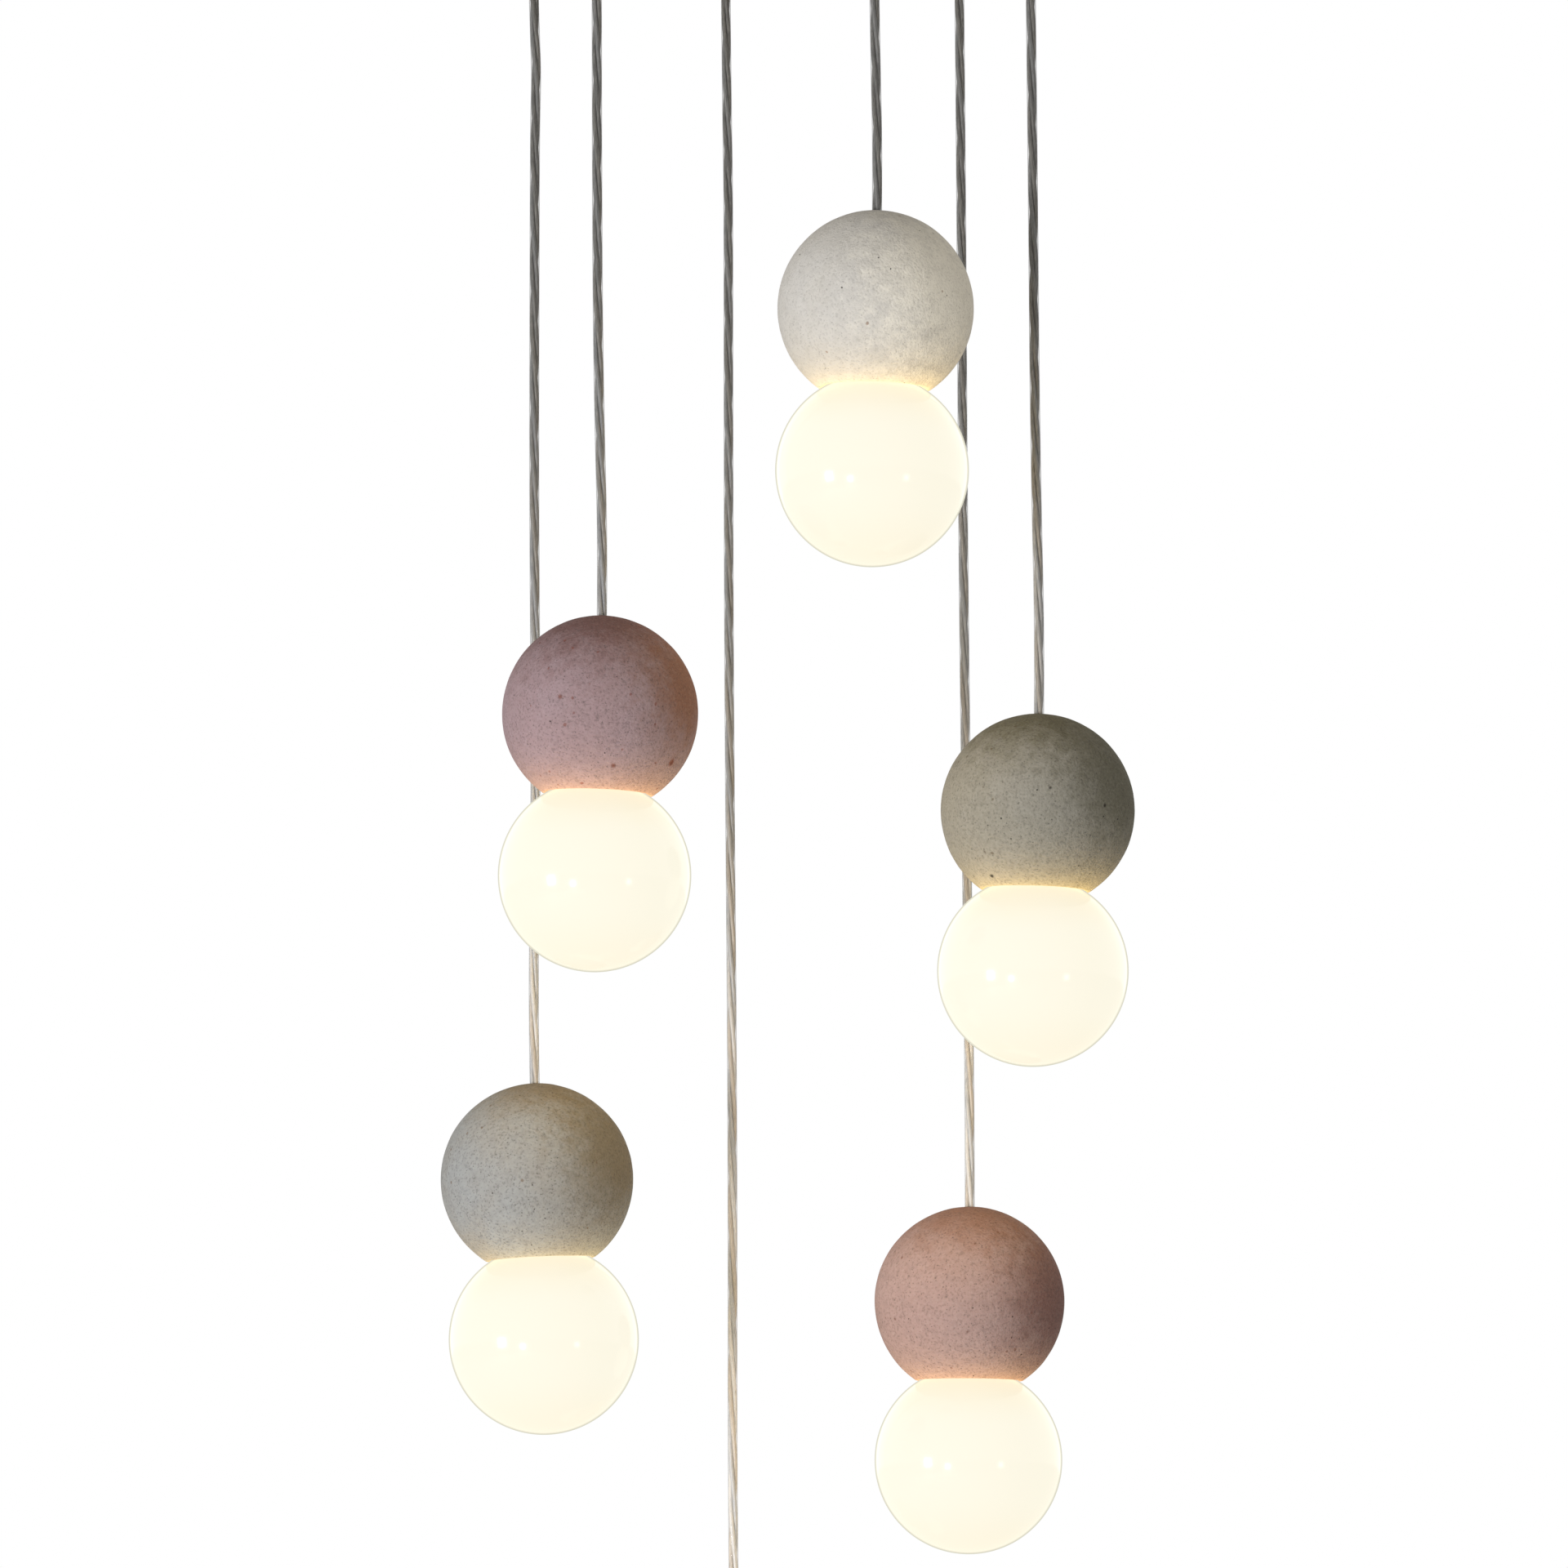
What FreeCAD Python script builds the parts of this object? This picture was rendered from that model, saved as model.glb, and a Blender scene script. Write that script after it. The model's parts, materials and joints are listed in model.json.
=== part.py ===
"""A multi-pendant ceiling light: six cords from one round canopy, each with a ball over an opal globe.

Lengths are in millimetres. +Z is up, +X is to the right and +Y is away from the viewer. The origin is on
the ceiling, midway between the two bracket screws. Each head is drawn about the centre of its ball.
"""
import FreeCAD, Part
import math
import os
import re

import Sketcher

Vector = FreeCAD.Vector
UP = Vector(0, 0, 1)
SIDEWAYS_AXIS = Vector(0, 1, 0)

# Sizes of the canopy and of what it holds.
CANOPY_SIZES = {
    "canopy_margin": 40,
    "canopy_height": 30,
    "canopy_wall": 1.5,
    "canopy_edge_round": 8,
    "ceiling_gap": 0.5,
    "bracket_inset": 20,
    "bracket_width": 26,
    "bracket_thick": 2,
    "bracket_corner": 6,
    "ceiling_hole_spacing": 120,
    "ceiling_hole_radius": 2.75,
    "supply_hole_radius": 8,
    "stud_inset": 28,
    "stud_radius": 2,
    "stud_hole_gap": 0.25,
    "thread_gap": 0.05,
    "cap_nut_radius": 6,
    "cap_nut_height": 8,
    "cap_nut_round": 3,
    "cap_nut_hollow": 6.5,
    "earth_screw_place": 100,
    "earth_head_radius": 4,
    "earth_head_height": 2.6,
    "earth_washer_radius": 5.5,
    "earth_washer_thick": 0.8,
    "junction_radius": 42,
    "junction_height": 22,
    "junction_wall": 2,
    "junction_supply_radius": 9.5,
    "junction_hole_gap": 0.3,
    "lid_thick": 2,
    "lid_lip_height": 3,
    "lid_lip_gap": 0.2,
    "terminal_length": 40,
    "terminal_width": 16,
    "terminal_height": 12,
    "terminal_corner": 1.5,
    "terminal_pitch": 12,
    "terminal_wire_radius": 2,
    "terminal_screw_radius": 2.4,
    "terminal_screw_depth": 4,
}

# Sizes of the cords and of the glands that they leave the canopy by.
CORD_SIZES = {
    "cord_circle_radius": 160,
    "cord_radius": 3.1,
    "cord_end_gap": 0.8,
    "cord_bend_above_ball": 12,
    "gland_length": 14,
    "gland_shank_radius": 5,
    "gland_shank_rise": 7,
    "gland_shank_gap": 0.1,
    "gland_collar_radius": 9,
    "gland_collar_height": 3,
    "gland_shoulder_radius": 7.8,
    "gland_shoulder_height": 1.2,
    "gland_tip_radius": 6.8,
    "gland_bore_radius": 3.6,
    "gland_mouth_radius": 5.6,
    "gland_mouth_height": 7,
    "gland_mouth_round": 14,
    "swing_depth": 8,
    "gland_nut_across": 14,
    "gland_nut_height": 3.5,
    "tail_depth": 11.5,
    "tail_end_inset": 5,
}

# Sizes of one head: the ball, the globe and what joins them.
HEAD_SIZES = {
    "ball_radius": 60,
    "ball_wall": 10,
    "ball_roof": 16,
    "ball_ledge_gap": 2.5,
    "ball_rim_round": 2,
    "cord_hole_radius": 3.8,
    "globe_radius": 59,
    "globe_wall": 3,
    "globe_overlap": 19.5,
    "globe_seat_gap": 0.6,
    "neck_radius": 24,
    "neck_rise": 70,
    "neck_gap": 0.3,
    "neck_end_gap": 2,
    "fitter_wall": 2,
    "fitter_top": 2,
    "fitter_chamfer": 1.5,
    "stem_radius": 5,
    "stem_bore_radius": 4,
    "stem_end_gap": 0.5,
    "insert_radius": 8,
    "insert_length": 10,
    "stem_nut_across": 14,
    "stem_nut_height": 4,
    "holder_boss_radius": 7.5,
    "holder_boss_height": 7,
    "holder_socket_depth": 5,
    "holder_radius": 9.5,
    "holder_height": 16,
    "holder_chamfer": 1,
    "pin_spacing": 9,
    "pin_radius": 1.2,
    "pin_length": 6,
    "pin_hole_gap": 0.3,
    "pin_hole_depth": 8,
    "lamp_base_radius": 7,
    "lamp_base_height": 6,
    "lamp_radius": 8,
    "lamp_length": 46,
}

# Each pendant: where its cord leaves the circle, how far down its ball's centre hangs, and its head's lean
# in degrees, positive where the globe hangs to the right. The chalk pendant is the lowest one.
PENDANTS = {
    "ivory": {"angle": 290, "drop": 297.4, "lean": -1.7},
    "mauve": {"angle": 224, "drop": 540.5, "lean": -2.2},
    "sage": {"angle": 343.5, "drop": 595.2, "lean": -2.2},
    "grey": {"angle": 171, "drop": 817, "lean": 2.2},
    "rose": {"angle": 45.6, "drop": 890.2, "lean": -0.9},
    "chalk": {"angle": 103.5, "drop": 1128, "lean": 1.1},
}

# The route of each free cord between its gland and its ball, chosen by hand: how far a bend lies to the
# right of the gland and behind it, and its height below the ceiling.
CORD_BENDS = {
    "ivory": [(0.6, 0.3, -126)],
    "mauve": [(-0.5, 0.4, -175), (-0.4, -0.5, -330)],
    "sage": [(0.5, 0.4, -190), (0.3, -0.5, -365)],
    "grey": [(1.0, 0.3, -92), (2.1, 0.5, -121), (1.1, 0.2, -150), (0.5, -0.4, -235), (-0.4, 0.3, -395),
             (0.3, 0.5, -580)],
    "rose": [(0.3, 0.5, -190), (-0.4, -0.4, -400), (0.5, 0.3, -620)],
    "chalk": [(0.3, 0.4, -120), (1.0, 0.6, -175), (0.4, -0.4, -290), (-0.4, 0.3, -500), (0.5, -0.3, -780)],
}
ARC_SHARE = 0.45

DIMENSIONS = {**CANOPY_SIZES, **CORD_SIZES, **HEAD_SIZES}
for pendant, values in PENDANTS.items():
    DIMENSIONS.update({f"{pendant}_{quantity}": value for quantity, value in values.items()})

doc = FreeCAD.newDocument("MultiPendantLight")
sheet = doc.addObject("Spreadsheet::Sheet", "Dimensions")
for row, (alias, value) in enumerate(DIMENSIONS.items(), start=1):
    sheet.set(f"A{row}", alias)
    sheet.set(f"B{row}", str(value))
    sheet.setAlias(f"B{row}", alias)
doc.recompute()

subparts = []


def bound(text):
    """The same sum with each size's name pointed at its cell in the sheet."""
    def cell(word):
        return f"Dimensions.{word[0]}" if word[0] in DIMENSIONS else word[0]

    return re.sub(r"[a-z_]\w*", cell, text)


def measure(text):
    """The value of a sum of sizes, as a plain number."""
    result = sheet.evalExpression(bound(text))
    return float(getattr(result, "Value", result))


def bind(piece, **sums):
    """Ties properties of a piece to sums of sizes."""
    for name, text in sums.items():
        piece.setExpression(name.replace("__", "."), bound(text))
    return piece


def keep(piece, label):
    """Gives a finished sub-part its name and puts it on the list of those to write."""
    piece.Label = label
    subparts.append(piece)
    return piece


def new_sketch(body, name, role):
    """A sketch on one of the body's own origin planes."""
    sketch = body.newObject("Sketcher::SketchObject", name)
    plane = next(item for item in body.Origin.OriginFeatures if item.Role == role)
    sketch.AttachmentSupport = (plane, [""])
    sketch.MapMode = "FlatFace"
    return sketch


def hold(sketch, kind, *where_and_text):
    """A constraint whose value is a sum of sizes."""
    *where, text = where_and_text
    index = sketch.addConstraint(Sketcher.Constraint(kind, *where, measure(text)))
    sketch.setExpression(f"Constraints[{index}]", bound(text))


def draw_outline(sketch, corners, arcs=None):
    """A closed outline through corners given as sums of sizes.

    arcs maps an edge's number to its radius, its centre and its turn: 1 is anticlockwise, -1 clockwise.
    """
    arcs = arcs or {}
    points = [Vector(measure(across), measure(up), 0) for across, up in corners]
    ends = []
    for edge, start in enumerate(points):
        stop = points[(edge + 1) % len(points)]
        turn = arcs[edge][2] if edge in arcs else 1
        ends.append((1, 2) if turn > 0 else (2, 1))
        if edge in arcs:
            radius, centre_text, _ = arcs[edge]
            centre = Vector(measure(centre_text[0]), measure(centre_text[1]), 0)
            first, last = (start, stop) if turn > 0 else (stop, start)
            angles = [math.atan2(*(point - centre)[1::-1]) for point in (first, last)]
            circle = Part.Circle(centre, UP, measure(radius))
            sketch.addGeometry(Part.ArcOfCircle(circle, *angles), False)
        else:
            sketch.addGeometry(Part.LineSegment(start, stop), False)
    for edge, (across, up) in enumerate(corners):
        before = (edge - 1) % len(corners)
        sketch.addConstraint(Sketcher.Constraint("Coincident", before, ends[before][1], edge, ends[edge][0]))
        hold(sketch, "DistanceX", -1, 1, edge, ends[edge][0], across)
        hold(sketch, "DistanceY", -1, 1, edge, ends[edge][0], up)
    for edge, (radius, _, _) in arcs.items():
        hold(sketch, "Radius", edge, radius)


def turned(name, corners, arcs=None):
    """A body made by turning half of its section round the Z axis."""
    body = doc.addObject("PartDesign::Body", name)
    sketch = new_sketch(body, f"{name}_section", "XZ_Plane")
    draw_outline(sketch, corners, arcs)
    turn = body.newObject("PartDesign::Revolution", f"{name}_turn")
    turn.Profile = sketch
    turn.ReferenceAxis = (sketch, ["V_Axis"])
    turn.Angle = 360
    return body


def padded(name, outline, thickness, top="0"):
    """A body made from a flat outline, hanging down from a height."""
    body = doc.addObject("PartDesign::Body", name)
    sketch = new_sketch(body, f"{name}_outline", "XY_Plane")
    draw_outline(sketch, *outline)
    pad = body.newObject("PartDesign::Pad", f"{name}_pad")
    pad.Profile = sketch
    pad.Reversed = True
    bind(pad, Length=thickness)
    bind(sketch, AttachmentOffset__Base__z=top)
    return body


def rectangle(length, width, corner):
    """The corners and arcs of a rectangle about the origin with rounded corners."""
    end, side = f"{length} / 2", f"{width} / 2"
    inner_end, inner_side = f"({end} - {corner})", f"({side} - {corner})"
    corners, arcs = [], {}
    quarters = [("-", "-"), ("", "-"), ("", ""), ("-", "")]
    for number, (across, up) in enumerate(quarters):
        on_end = (f"{across}{end}", f"{up}{inner_side}")
        on_side = (f"{across}{inner_end}", f"{up}{side}")
        corners += (on_end, on_side) if number % 2 == 0 else (on_side, on_end)
        arcs[2 * number] = (corner, (f"{across}{inner_end}", f"{up}{inner_side}"), 1)
    return corners, arcs


def drill(body, name, role, holes, depth=None, level="0"):
    """Round holes, each a place across and up and a radius, cut through all or to a depth over the level."""
    doc.recompute()
    before = body.Shape.Volume
    sketch = new_sketch(body, f"{body.Name}_{name}", role)
    for index, (across, up, radius) in enumerate(holes):
        centre = Vector(measure(across), measure(up), 0)
        sketch.addGeometry(Part.Circle(centre, UP, measure(radius)), False)
        hold(sketch, "DistanceX", -1, 1, index, 3, across)
        hold(sketch, "DistanceY", -1, 1, index, 3, up)
        hold(sketch, "Radius", index, radius)
    bind(sketch, AttachmentOffset__Base__z=level)
    pocket = body.newObject("PartDesign::Pocket", f"{body.Name}_{name}_cut")
    pocket.Profile = sketch
    if depth is None:
        pocket.Type = "ThroughAll"
        pocket.Midplane = True
    else:
        pocket.Reversed = True
        bind(pocket, Length=depth)
    doc.recompute()
    if body.Shape.Volume >= before:
        raise RuntimeError(f"{body.Name}: {name} cuts nothing")


def cylinder(name, radius, height, level="0"):
    """An upright cylinder standing on a level."""
    piece = bind(doc.addObject("Part::Cylinder", name), Radius=radius, Height=height)
    return bind(piece, Placement__Base__z=level)


def cut(name, base, tool):
    piece = doc.addObject("Part::Cut", name)
    piece.Base = base
    piece.Tool = tool
    return piece


def hex_nut(name, across, height, bore, level="0"):
    """A six-sided nut with a plain bore, standing on a level."""
    prism = doc.addObject("Part::Prism", f"{name}_hexagon")
    prism.Polygon = 6
    bind(prism, Circumradius=f"{across} / sqrt(3)", Height=height, Placement__Base__z=level)
    return cut(name, prism, cylinder(f"{name}_bore", bore, height, level))


def group(name, pieces):
    """Separate solids of one kind that share a sub-part."""
    compound = doc.addObject("Part::Compound", name)
    compound.Links = pieces
    return compound


def on_cord_circle(pendant, radius="cord_circle_radius"):
    """Where a pendant's cord lies on the circle, or on a smaller one, as two sums."""
    return f"{radius} * cos({pendant}_angle)", f"{radius} * sin({pendant}_angle)"


def under_cord(piece, pendant, level="0"):
    """Moves a piece to the line that a pendant's cord hangs on."""
    across, away = on_cord_circle(pendant)
    return bind(piece, Placement__Base__x=across, Placement__Base__y=away, Placement__Base__z=level)


def head_placement(pendant):
    """The place of a pendant's head: its ball's centre, and the lean about the line towards the viewer."""
    across, away = on_cord_circle(pendant)
    centre = Vector(measure(across), measure(away), measure(f"-{pendant}_drop"))
    return FreeCAD.Placement(centre, FreeCAD.Rotation(SIDEWAYS_AXIS, measure(f"-{pendant}_lean")))


def hang(piece, pendant):
    """Turns a piece drawn about its ball's centre to the head's lean and puts it in its place."""
    piece.Placement = head_placement(pendant)
    return under_cord(piece, pendant, f"-{pendant}_drop")


def rounded_edge(body, name, radius, ring_radius, ring_height):
    """Rounds the circular edge of this radius that lies at this height."""
    doc.recompute()
    solid = body.Tip
    edges = solid.Shape.Edges

    def miss(index):
        curve = edges[index].Curve
        if not isinstance(curve, Part.Circle) or not edges[index].isClosed():
            return math.inf
        return abs(curve.Radius - measure(ring_radius)) + abs(curve.Center.z - measure(ring_height))

    nearest = min(range(len(edges)), key=miss)
    fillet = body.newObject("PartDesign::Fillet", f"{body.Name}_{name}")
    fillet.Base = (solid, [f"Edge{nearest + 1}"])
    bind(fillet, Radius=radius)


def rounded_corner_points(first, corner, last):
    """The start, middle and end of the arc that rounds a corner of a route, and its radius."""
    back, onward = (first - corner), (last - corner)
    reach = ARC_SHARE * min(back.Length, onward.Length)
    back.normalize()
    onward.normalize()
    half_turn = (math.pi - back.getAngle(onward)) / 2
    radius = reach / math.tan(half_turn)
    inward = (back + onward).normalize()
    middle = corner + inward * (math.hypot(radius, reach) - radius)
    return corner + back * reach, middle, corner + onward * reach, radius


def cord_tube(name, points):
    """A round tube along straight runs joined by tangent arcs."""
    radius = measure("cord_radius")
    edges, radii, start = [], [], points[0]
    for first, corner, last in zip(points, points[1:], points[2:]):
        arc_start, middle, arc_end, bend = rounded_corner_points(first, corner, last)
        edges.append(Part.LineSegment(start, arc_start).toShape())
        edges.append(Part.Arc(arc_start, middle, arc_end).toShape())
        radii.append(round(bend))
        start = arc_end
    edges.append(Part.LineSegment(start, points[-1]).toShape())
    path = Part.Wire(edges)
    ring = Part.Wire(Part.Circle(points[0], points[1] - points[0], radius).toShape())
    shape = path.makePipeShell([ring], True, False)
    fullness = shape.Volume / (math.pi * radius**2 * path.Length)
    print(f"{name}: {path.Length:.1f} mm long, bends {radii}, volume over expected {fullness:.4f}")
    return shape


# The canopy's reach follows the circle of cords, and the bracket and its studs follow the canopy's.
CANOPY_RADIUS = "(cord_circle_radius + canopy_margin)"
BRACKET_LENGTH = f"(2 * ({CANOPY_RADIUS} - bracket_inset))"
STUD_PLACE = f"({CANOPY_RADIUS} - stud_inset)"


def canopy_pan():
    """The shallow spun pan that hides the wiring, open at the ceiling."""
    inside = "canopy_edge_round - canopy_wall"
    level = "-canopy_height + canopy_edge_round"
    flat = f"{CANOPY_RADIUS} - canopy_edge_round"
    centre = (flat, level)
    pan = turned(
        "canopy_pan",
        [
            ("0", "-canopy_height"),
            (flat, "-canopy_height"),
            (CANOPY_RADIUS, level),
            (CANOPY_RADIUS, "-ceiling_gap"),
            (f"{CANOPY_RADIUS} - canopy_wall", "-ceiling_gap"),
            (f"{CANOPY_RADIUS} - canopy_wall", level),
            (flat, "-canopy_height + canopy_wall"),
            ("0", "-canopy_height + canopy_wall"),
        ],
        {1: ("canopy_edge_round", centre, 1), 5: (inside, centre, -1)},
    )
    shank_hole = "gland_shank_radius + gland_shank_gap"
    drill(pan, "gland_holes", "XY_Plane", [(*on_cord_circle(pendant), shank_hole) for pendant in PENDANTS])
    stud_holes = [(side + STUD_PLACE, "0", "stud_radius + stud_hole_gap") for side in ("", "-")]
    drill(pan, "stud_holes", "XY_Plane", stud_holes)
    keep(pan, "canopy_pan")


def ceiling_bracket():
    """The flat bar that is screwed to the ceiling and carries everything else."""
    outline = rectangle(BRACKET_LENGTH, "bracket_width", "bracket_corner")
    bar = padded("ceiling_bracket", outline, "bracket_thick")
    drill(bar, "ceiling_holes", "XY_Plane",
          [(side + "ceiling_hole_spacing / 2", "0", "ceiling_hole_radius") for side in ("", "-")])
    drill(bar, "supply_hole", "XY_Plane", [("0", "0", "supply_hole_radius")])
    drill(bar, "earth_hole", "XY_Plane", [("earth_screw_place", "0", "stud_radius + stud_hole_gap")])
    keep(bar, "ceiling_bracket")


def bracket_studs():
    """Two studs welded under the bracket's ends, and the cap nuts that hold the pan on them."""
    studs, nuts = [], []
    for side, sign in (("right", ""), ("left", "-")):
        length = "canopy_height - bracket_thick + cap_nut_hollow - stem_end_gap"
        stud = cylinder(f"stud_{side}", "stud_radius", length, f"-bracket_thick - ({length})")
        studs.append(bind(stud, Placement__Base__x=sign + STUD_PLACE))
        hollow, bottom = "stud_radius + thread_gap", "-cap_nut_height"
        nut = turned(
            f"cap_nut_{side}",
            [
                ("0", bottom),
                ("cap_nut_radius - cap_nut_round", bottom),
                ("cap_nut_radius", f"{bottom} + cap_nut_round"),
                ("cap_nut_radius", "0"),
                (hollow, "0"),
                (hollow, "-cap_nut_hollow"),
                ("0", "-cap_nut_hollow"),
            ],
            {1: ("cap_nut_round", ("cap_nut_radius - cap_nut_round", f"{bottom} + cap_nut_round"), 1)},
        )
        under_pan = {"Placement__Base__x": sign + STUD_PLACE, "Placement__Base__z": "-canopy_height"}
        nuts.append(bind(nut, **under_pan))
    keep(group("bracket_studs", studs), "bracket_studs")
    keep(group("cap_nuts", nuts), "cap_nuts")


def earth_screw():
    """The pan-head screw and washer that the earth wires are held by."""
    washer_base = "-bracket_thick - earth_washer_thick"
    washer_bore = "stud_radius + stud_hole_gap"
    washer = cut("earth_washer",
                 cylinder("earth_washer_disc", "earth_washer_radius", "earth_washer_thick", washer_base),
                 cylinder("earth_washer_bore", washer_bore, "earth_washer_thick", washer_base))
    head_base = f"{washer_base} - earth_head_height"
    screw = turned(
        "earth_pan_head",
        [
            ("0", head_base),
            ("earth_head_radius", head_base),
            ("earth_head_radius", washer_base),
            ("stud_radius", washer_base),
            ("stud_radius", "-ceiling_gap"),
            ("0", "-ceiling_gap"),
        ],
    )
    for piece in (washer, screw):
        bind(piece, Placement__Base__x="earth_screw_place")
    keep(group("earth_screw", [screw, washer]), "earth_screw")


def cord_glands():
    """The six bell-mouthed grips that the cords hang from, and the nuts that hold them in the pan."""
    mouth_top = "gland_mouth_height - gland_length"
    shoulder = "gland_collar_height + gland_shoulder_height"
    chord = "sqrt((gland_mouth_radius - gland_bore_radius)^2 + gland_mouth_height^2)"
    bulge = f"sqrt(gland_mouth_round^2 - ({chord})^2 / 4) / ({chord})"
    middle_across = "(gland_mouth_radius + gland_bore_radius) / 2"
    middle_up = "gland_mouth_height / 2 - gland_length"
    centre = (f"{middle_across} + {bulge} * gland_mouth_height",
              f"{middle_up} + {bulge} * (gland_mouth_radius - gland_bore_radius)")
    glands, nuts = [], []
    for pendant in PENDANTS:
        gland = turned(
            f"gland_{pendant}",
            [
                ("gland_mouth_radius", "-gland_length"),
                ("gland_tip_radius", "-gland_length"),
                ("gland_shoulder_radius", f"-({shoulder})"),
                ("gland_collar_radius", "-gland_collar_height"),
                ("gland_collar_radius", "0"),
                ("gland_shank_radius", "0"),
                ("gland_shank_radius", "gland_shank_rise"),
                ("gland_bore_radius", "gland_shank_rise"),
                ("gland_bore_radius", mouth_top),
            ],
            {8: ("gland_mouth_round", centre, 1)},
        )
        glands.append(under_cord(gland, pendant, "-canopy_height"))
        nut = hex_nut(f"gland_nut_{pendant}", "gland_nut_across", "gland_nut_height",
                      "gland_shank_radius + thread_gap")
        nuts.append(under_cord(nut, pendant, "-canopy_height + canopy_wall"))
    keep(group("cord_glands", glands), "cord_glands")
    keep(group("gland_nuts", nuts), "gland_nuts")


def cord_tails():
    """The lengths of cord inside the pan, from each gland up and over to the junction box."""
    low = measure("-canopy_height - swing_depth")
    high = measure("-tail_depth")
    end_radius = "(junction_radius - junction_wall - tail_end_inset)"
    shapes = []
    for pendant in PENDANTS:
        gland_across, gland_away = (measure(text) for text in on_cord_circle(pendant))
        end_across, end_away = (measure(text) for text in on_cord_circle(pendant, end_radius))
        points = [Vector(gland_across, gland_away, low), Vector(gland_across, gland_away, high),
                  Vector(end_across, end_away, high)]
        shapes.append(cord_tube(f"{pendant} tail", points))
    tails = doc.addObject("Part::Feature", "cord_tails")
    tails.Shape = Part.makeCompound(shapes)
    keep(tails, "cord_tails")


def junction_box():
    """The round box under the bracket where the cords meet the supply, with its lid and terminal block."""
    top, bottom = "-bracket_thick", "-bracket_thick - junction_height"
    inner = "junction_radius - junction_wall"
    cup = turned(
        "junction_cup",
        [
            ("junction_supply_radius", top),
            ("junction_supply_radius", f"{top} - junction_wall"),
            (inner, f"{top} - junction_wall"),
            (inner, bottom),
            ("junction_radius", bottom),
            ("junction_radius", top),
        ],
    )
    entries = []
    for pendant in PENDANTS:
        entry = bind(doc.addObject("Part::Cylinder", f"entry_{pendant}"),
                     Radius="cord_radius + junction_hole_gap", Height="junction_radius")
        heading = FreeCAD.Rotation(UP, measure(f"{pendant}_angle"))
        entry.Placement = FreeCAD.Placement(Vector(), heading * FreeCAD.Rotation(UP, Vector(1, 0, 0)))
        start = on_cord_circle(pendant, "(junction_radius - 2 * junction_wall)")
        entries.append(bind(entry, Placement__Base__x=start[0], Placement__Base__y=start[1],
                            Placement__Base__z="-tail_depth"))
    keep(cut("junction_box", cup, group("junction_entries", entries)), "junction_box")

    lip_outer = f"{inner} - lid_lip_gap"
    lid = turned(
        "junction_lid",
        [
            ("0", f"{bottom} - lid_thick"),
            ("junction_radius", f"{bottom} - lid_thick"),
            ("junction_radius", bottom),
            (lip_outer, bottom),
            (lip_outer, f"{bottom} + lid_lip_height"),
            (f"{lip_outer} - junction_wall", f"{bottom} + lid_lip_height"),
            (f"{lip_outer} - junction_wall", bottom),
            ("0", bottom),
        ],
    )
    keep(lid, "junction_lid")

    shift = "junction_supply_radius + terminal_width / 2"
    block_top = "-bracket_thick - junction_wall"
    outline = rectangle("terminal_length", "terminal_width", "terminal_corner")
    block = padded("terminal_block", outline, "terminal_height", block_top)
    poles = ("-terminal_pitch", "0", "terminal_pitch")
    wire_level = f"{block_top} - terminal_height / 2"
    drill(block, "wire_ways", "XZ_Plane", [(pole, wire_level, "terminal_wire_radius") for pole in poles])
    drill(block, "screw_wells", "XY_Plane", [(pole, "0", "terminal_screw_radius") for pole in poles],
          "terminal_screw_depth", f"{block_top} - terminal_height")
    bind(block, Placement__Base__y=shift)
    keep(block, "terminal_block")


# Heights on a head's axis, measured from the ball's centre.
ROOF = "(ball_radius - ball_roof)"
GLOBE_DROP = "(ball_radius + globe_radius - globe_overlap)"
GLOBE_CENTRE = f"(-{GLOBE_DROP})"
LEDGE = f"({GLOBE_CENTRE} + globe_radius + ball_ledge_gap)"
FITTER_RADIUS = "(neck_radius + neck_gap + fitter_wall)"
NECK_TOP = f"(neck_rise - {GLOBE_DROP})"
FITTER_CEILING = f"({NECK_TOP} + neck_end_gap)"
HOLDER_TOP = f"({FITTER_CEILING} - stem_nut_height)"
SOCKET_FLOOR = f"({HOLDER_TOP} - holder_socket_depth)"
HOLDER_BASE = f"({HOLDER_TOP} - holder_boss_height - holder_height)"


def ball(pendant):
    """The cast ball: a hollow with a flat roof and a flat ledge, and a hollowed seat over the globe."""
    cavity = "(ball_radius - ball_wall)"
    seat = "(globe_radius + globe_seat_gap)"
    throat = f"({FITTER_RADIUS} + neck_gap)"
    rim_level = f"(({seat}^2 - ball_radius^2 - {GLOBE_DROP}^2) / (2 * {GLOBE_DROP}))"
    rim_radius = f"sqrt(ball_radius^2 - {rim_level}^2)"
    centre = ("0", "0")
    shell = turned(
        f"{pendant}_ball",
        [
            (rim_radius, rim_level),
            ("cord_hole_radius", "sqrt(ball_radius^2 - cord_hole_radius^2)"),
            ("cord_hole_radius", f"{ROOF} + insert_length"),
            ("insert_radius", f"{ROOF} + insert_length"),
            ("insert_radius", ROOF),
            (f"sqrt({cavity}^2 - {ROOF}^2)", ROOF),
            (f"sqrt({cavity}^2 - {LEDGE}^2)", LEDGE),
            (throat, LEDGE),
            (throat, f"{GLOBE_CENTRE} + sqrt({seat}^2 - {throat}^2)"),
        ],
        {0: ("ball_radius", centre, 1), 5: (cavity, centre, -1), 8: (seat, ("0", GLOBE_CENTRE), -1)},
    )
    rounded_edge(shell, "rim", "ball_rim_round", rim_radius, rim_level)
    keep(hang(shell, pendant), f"{pendant}_ball")


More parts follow.
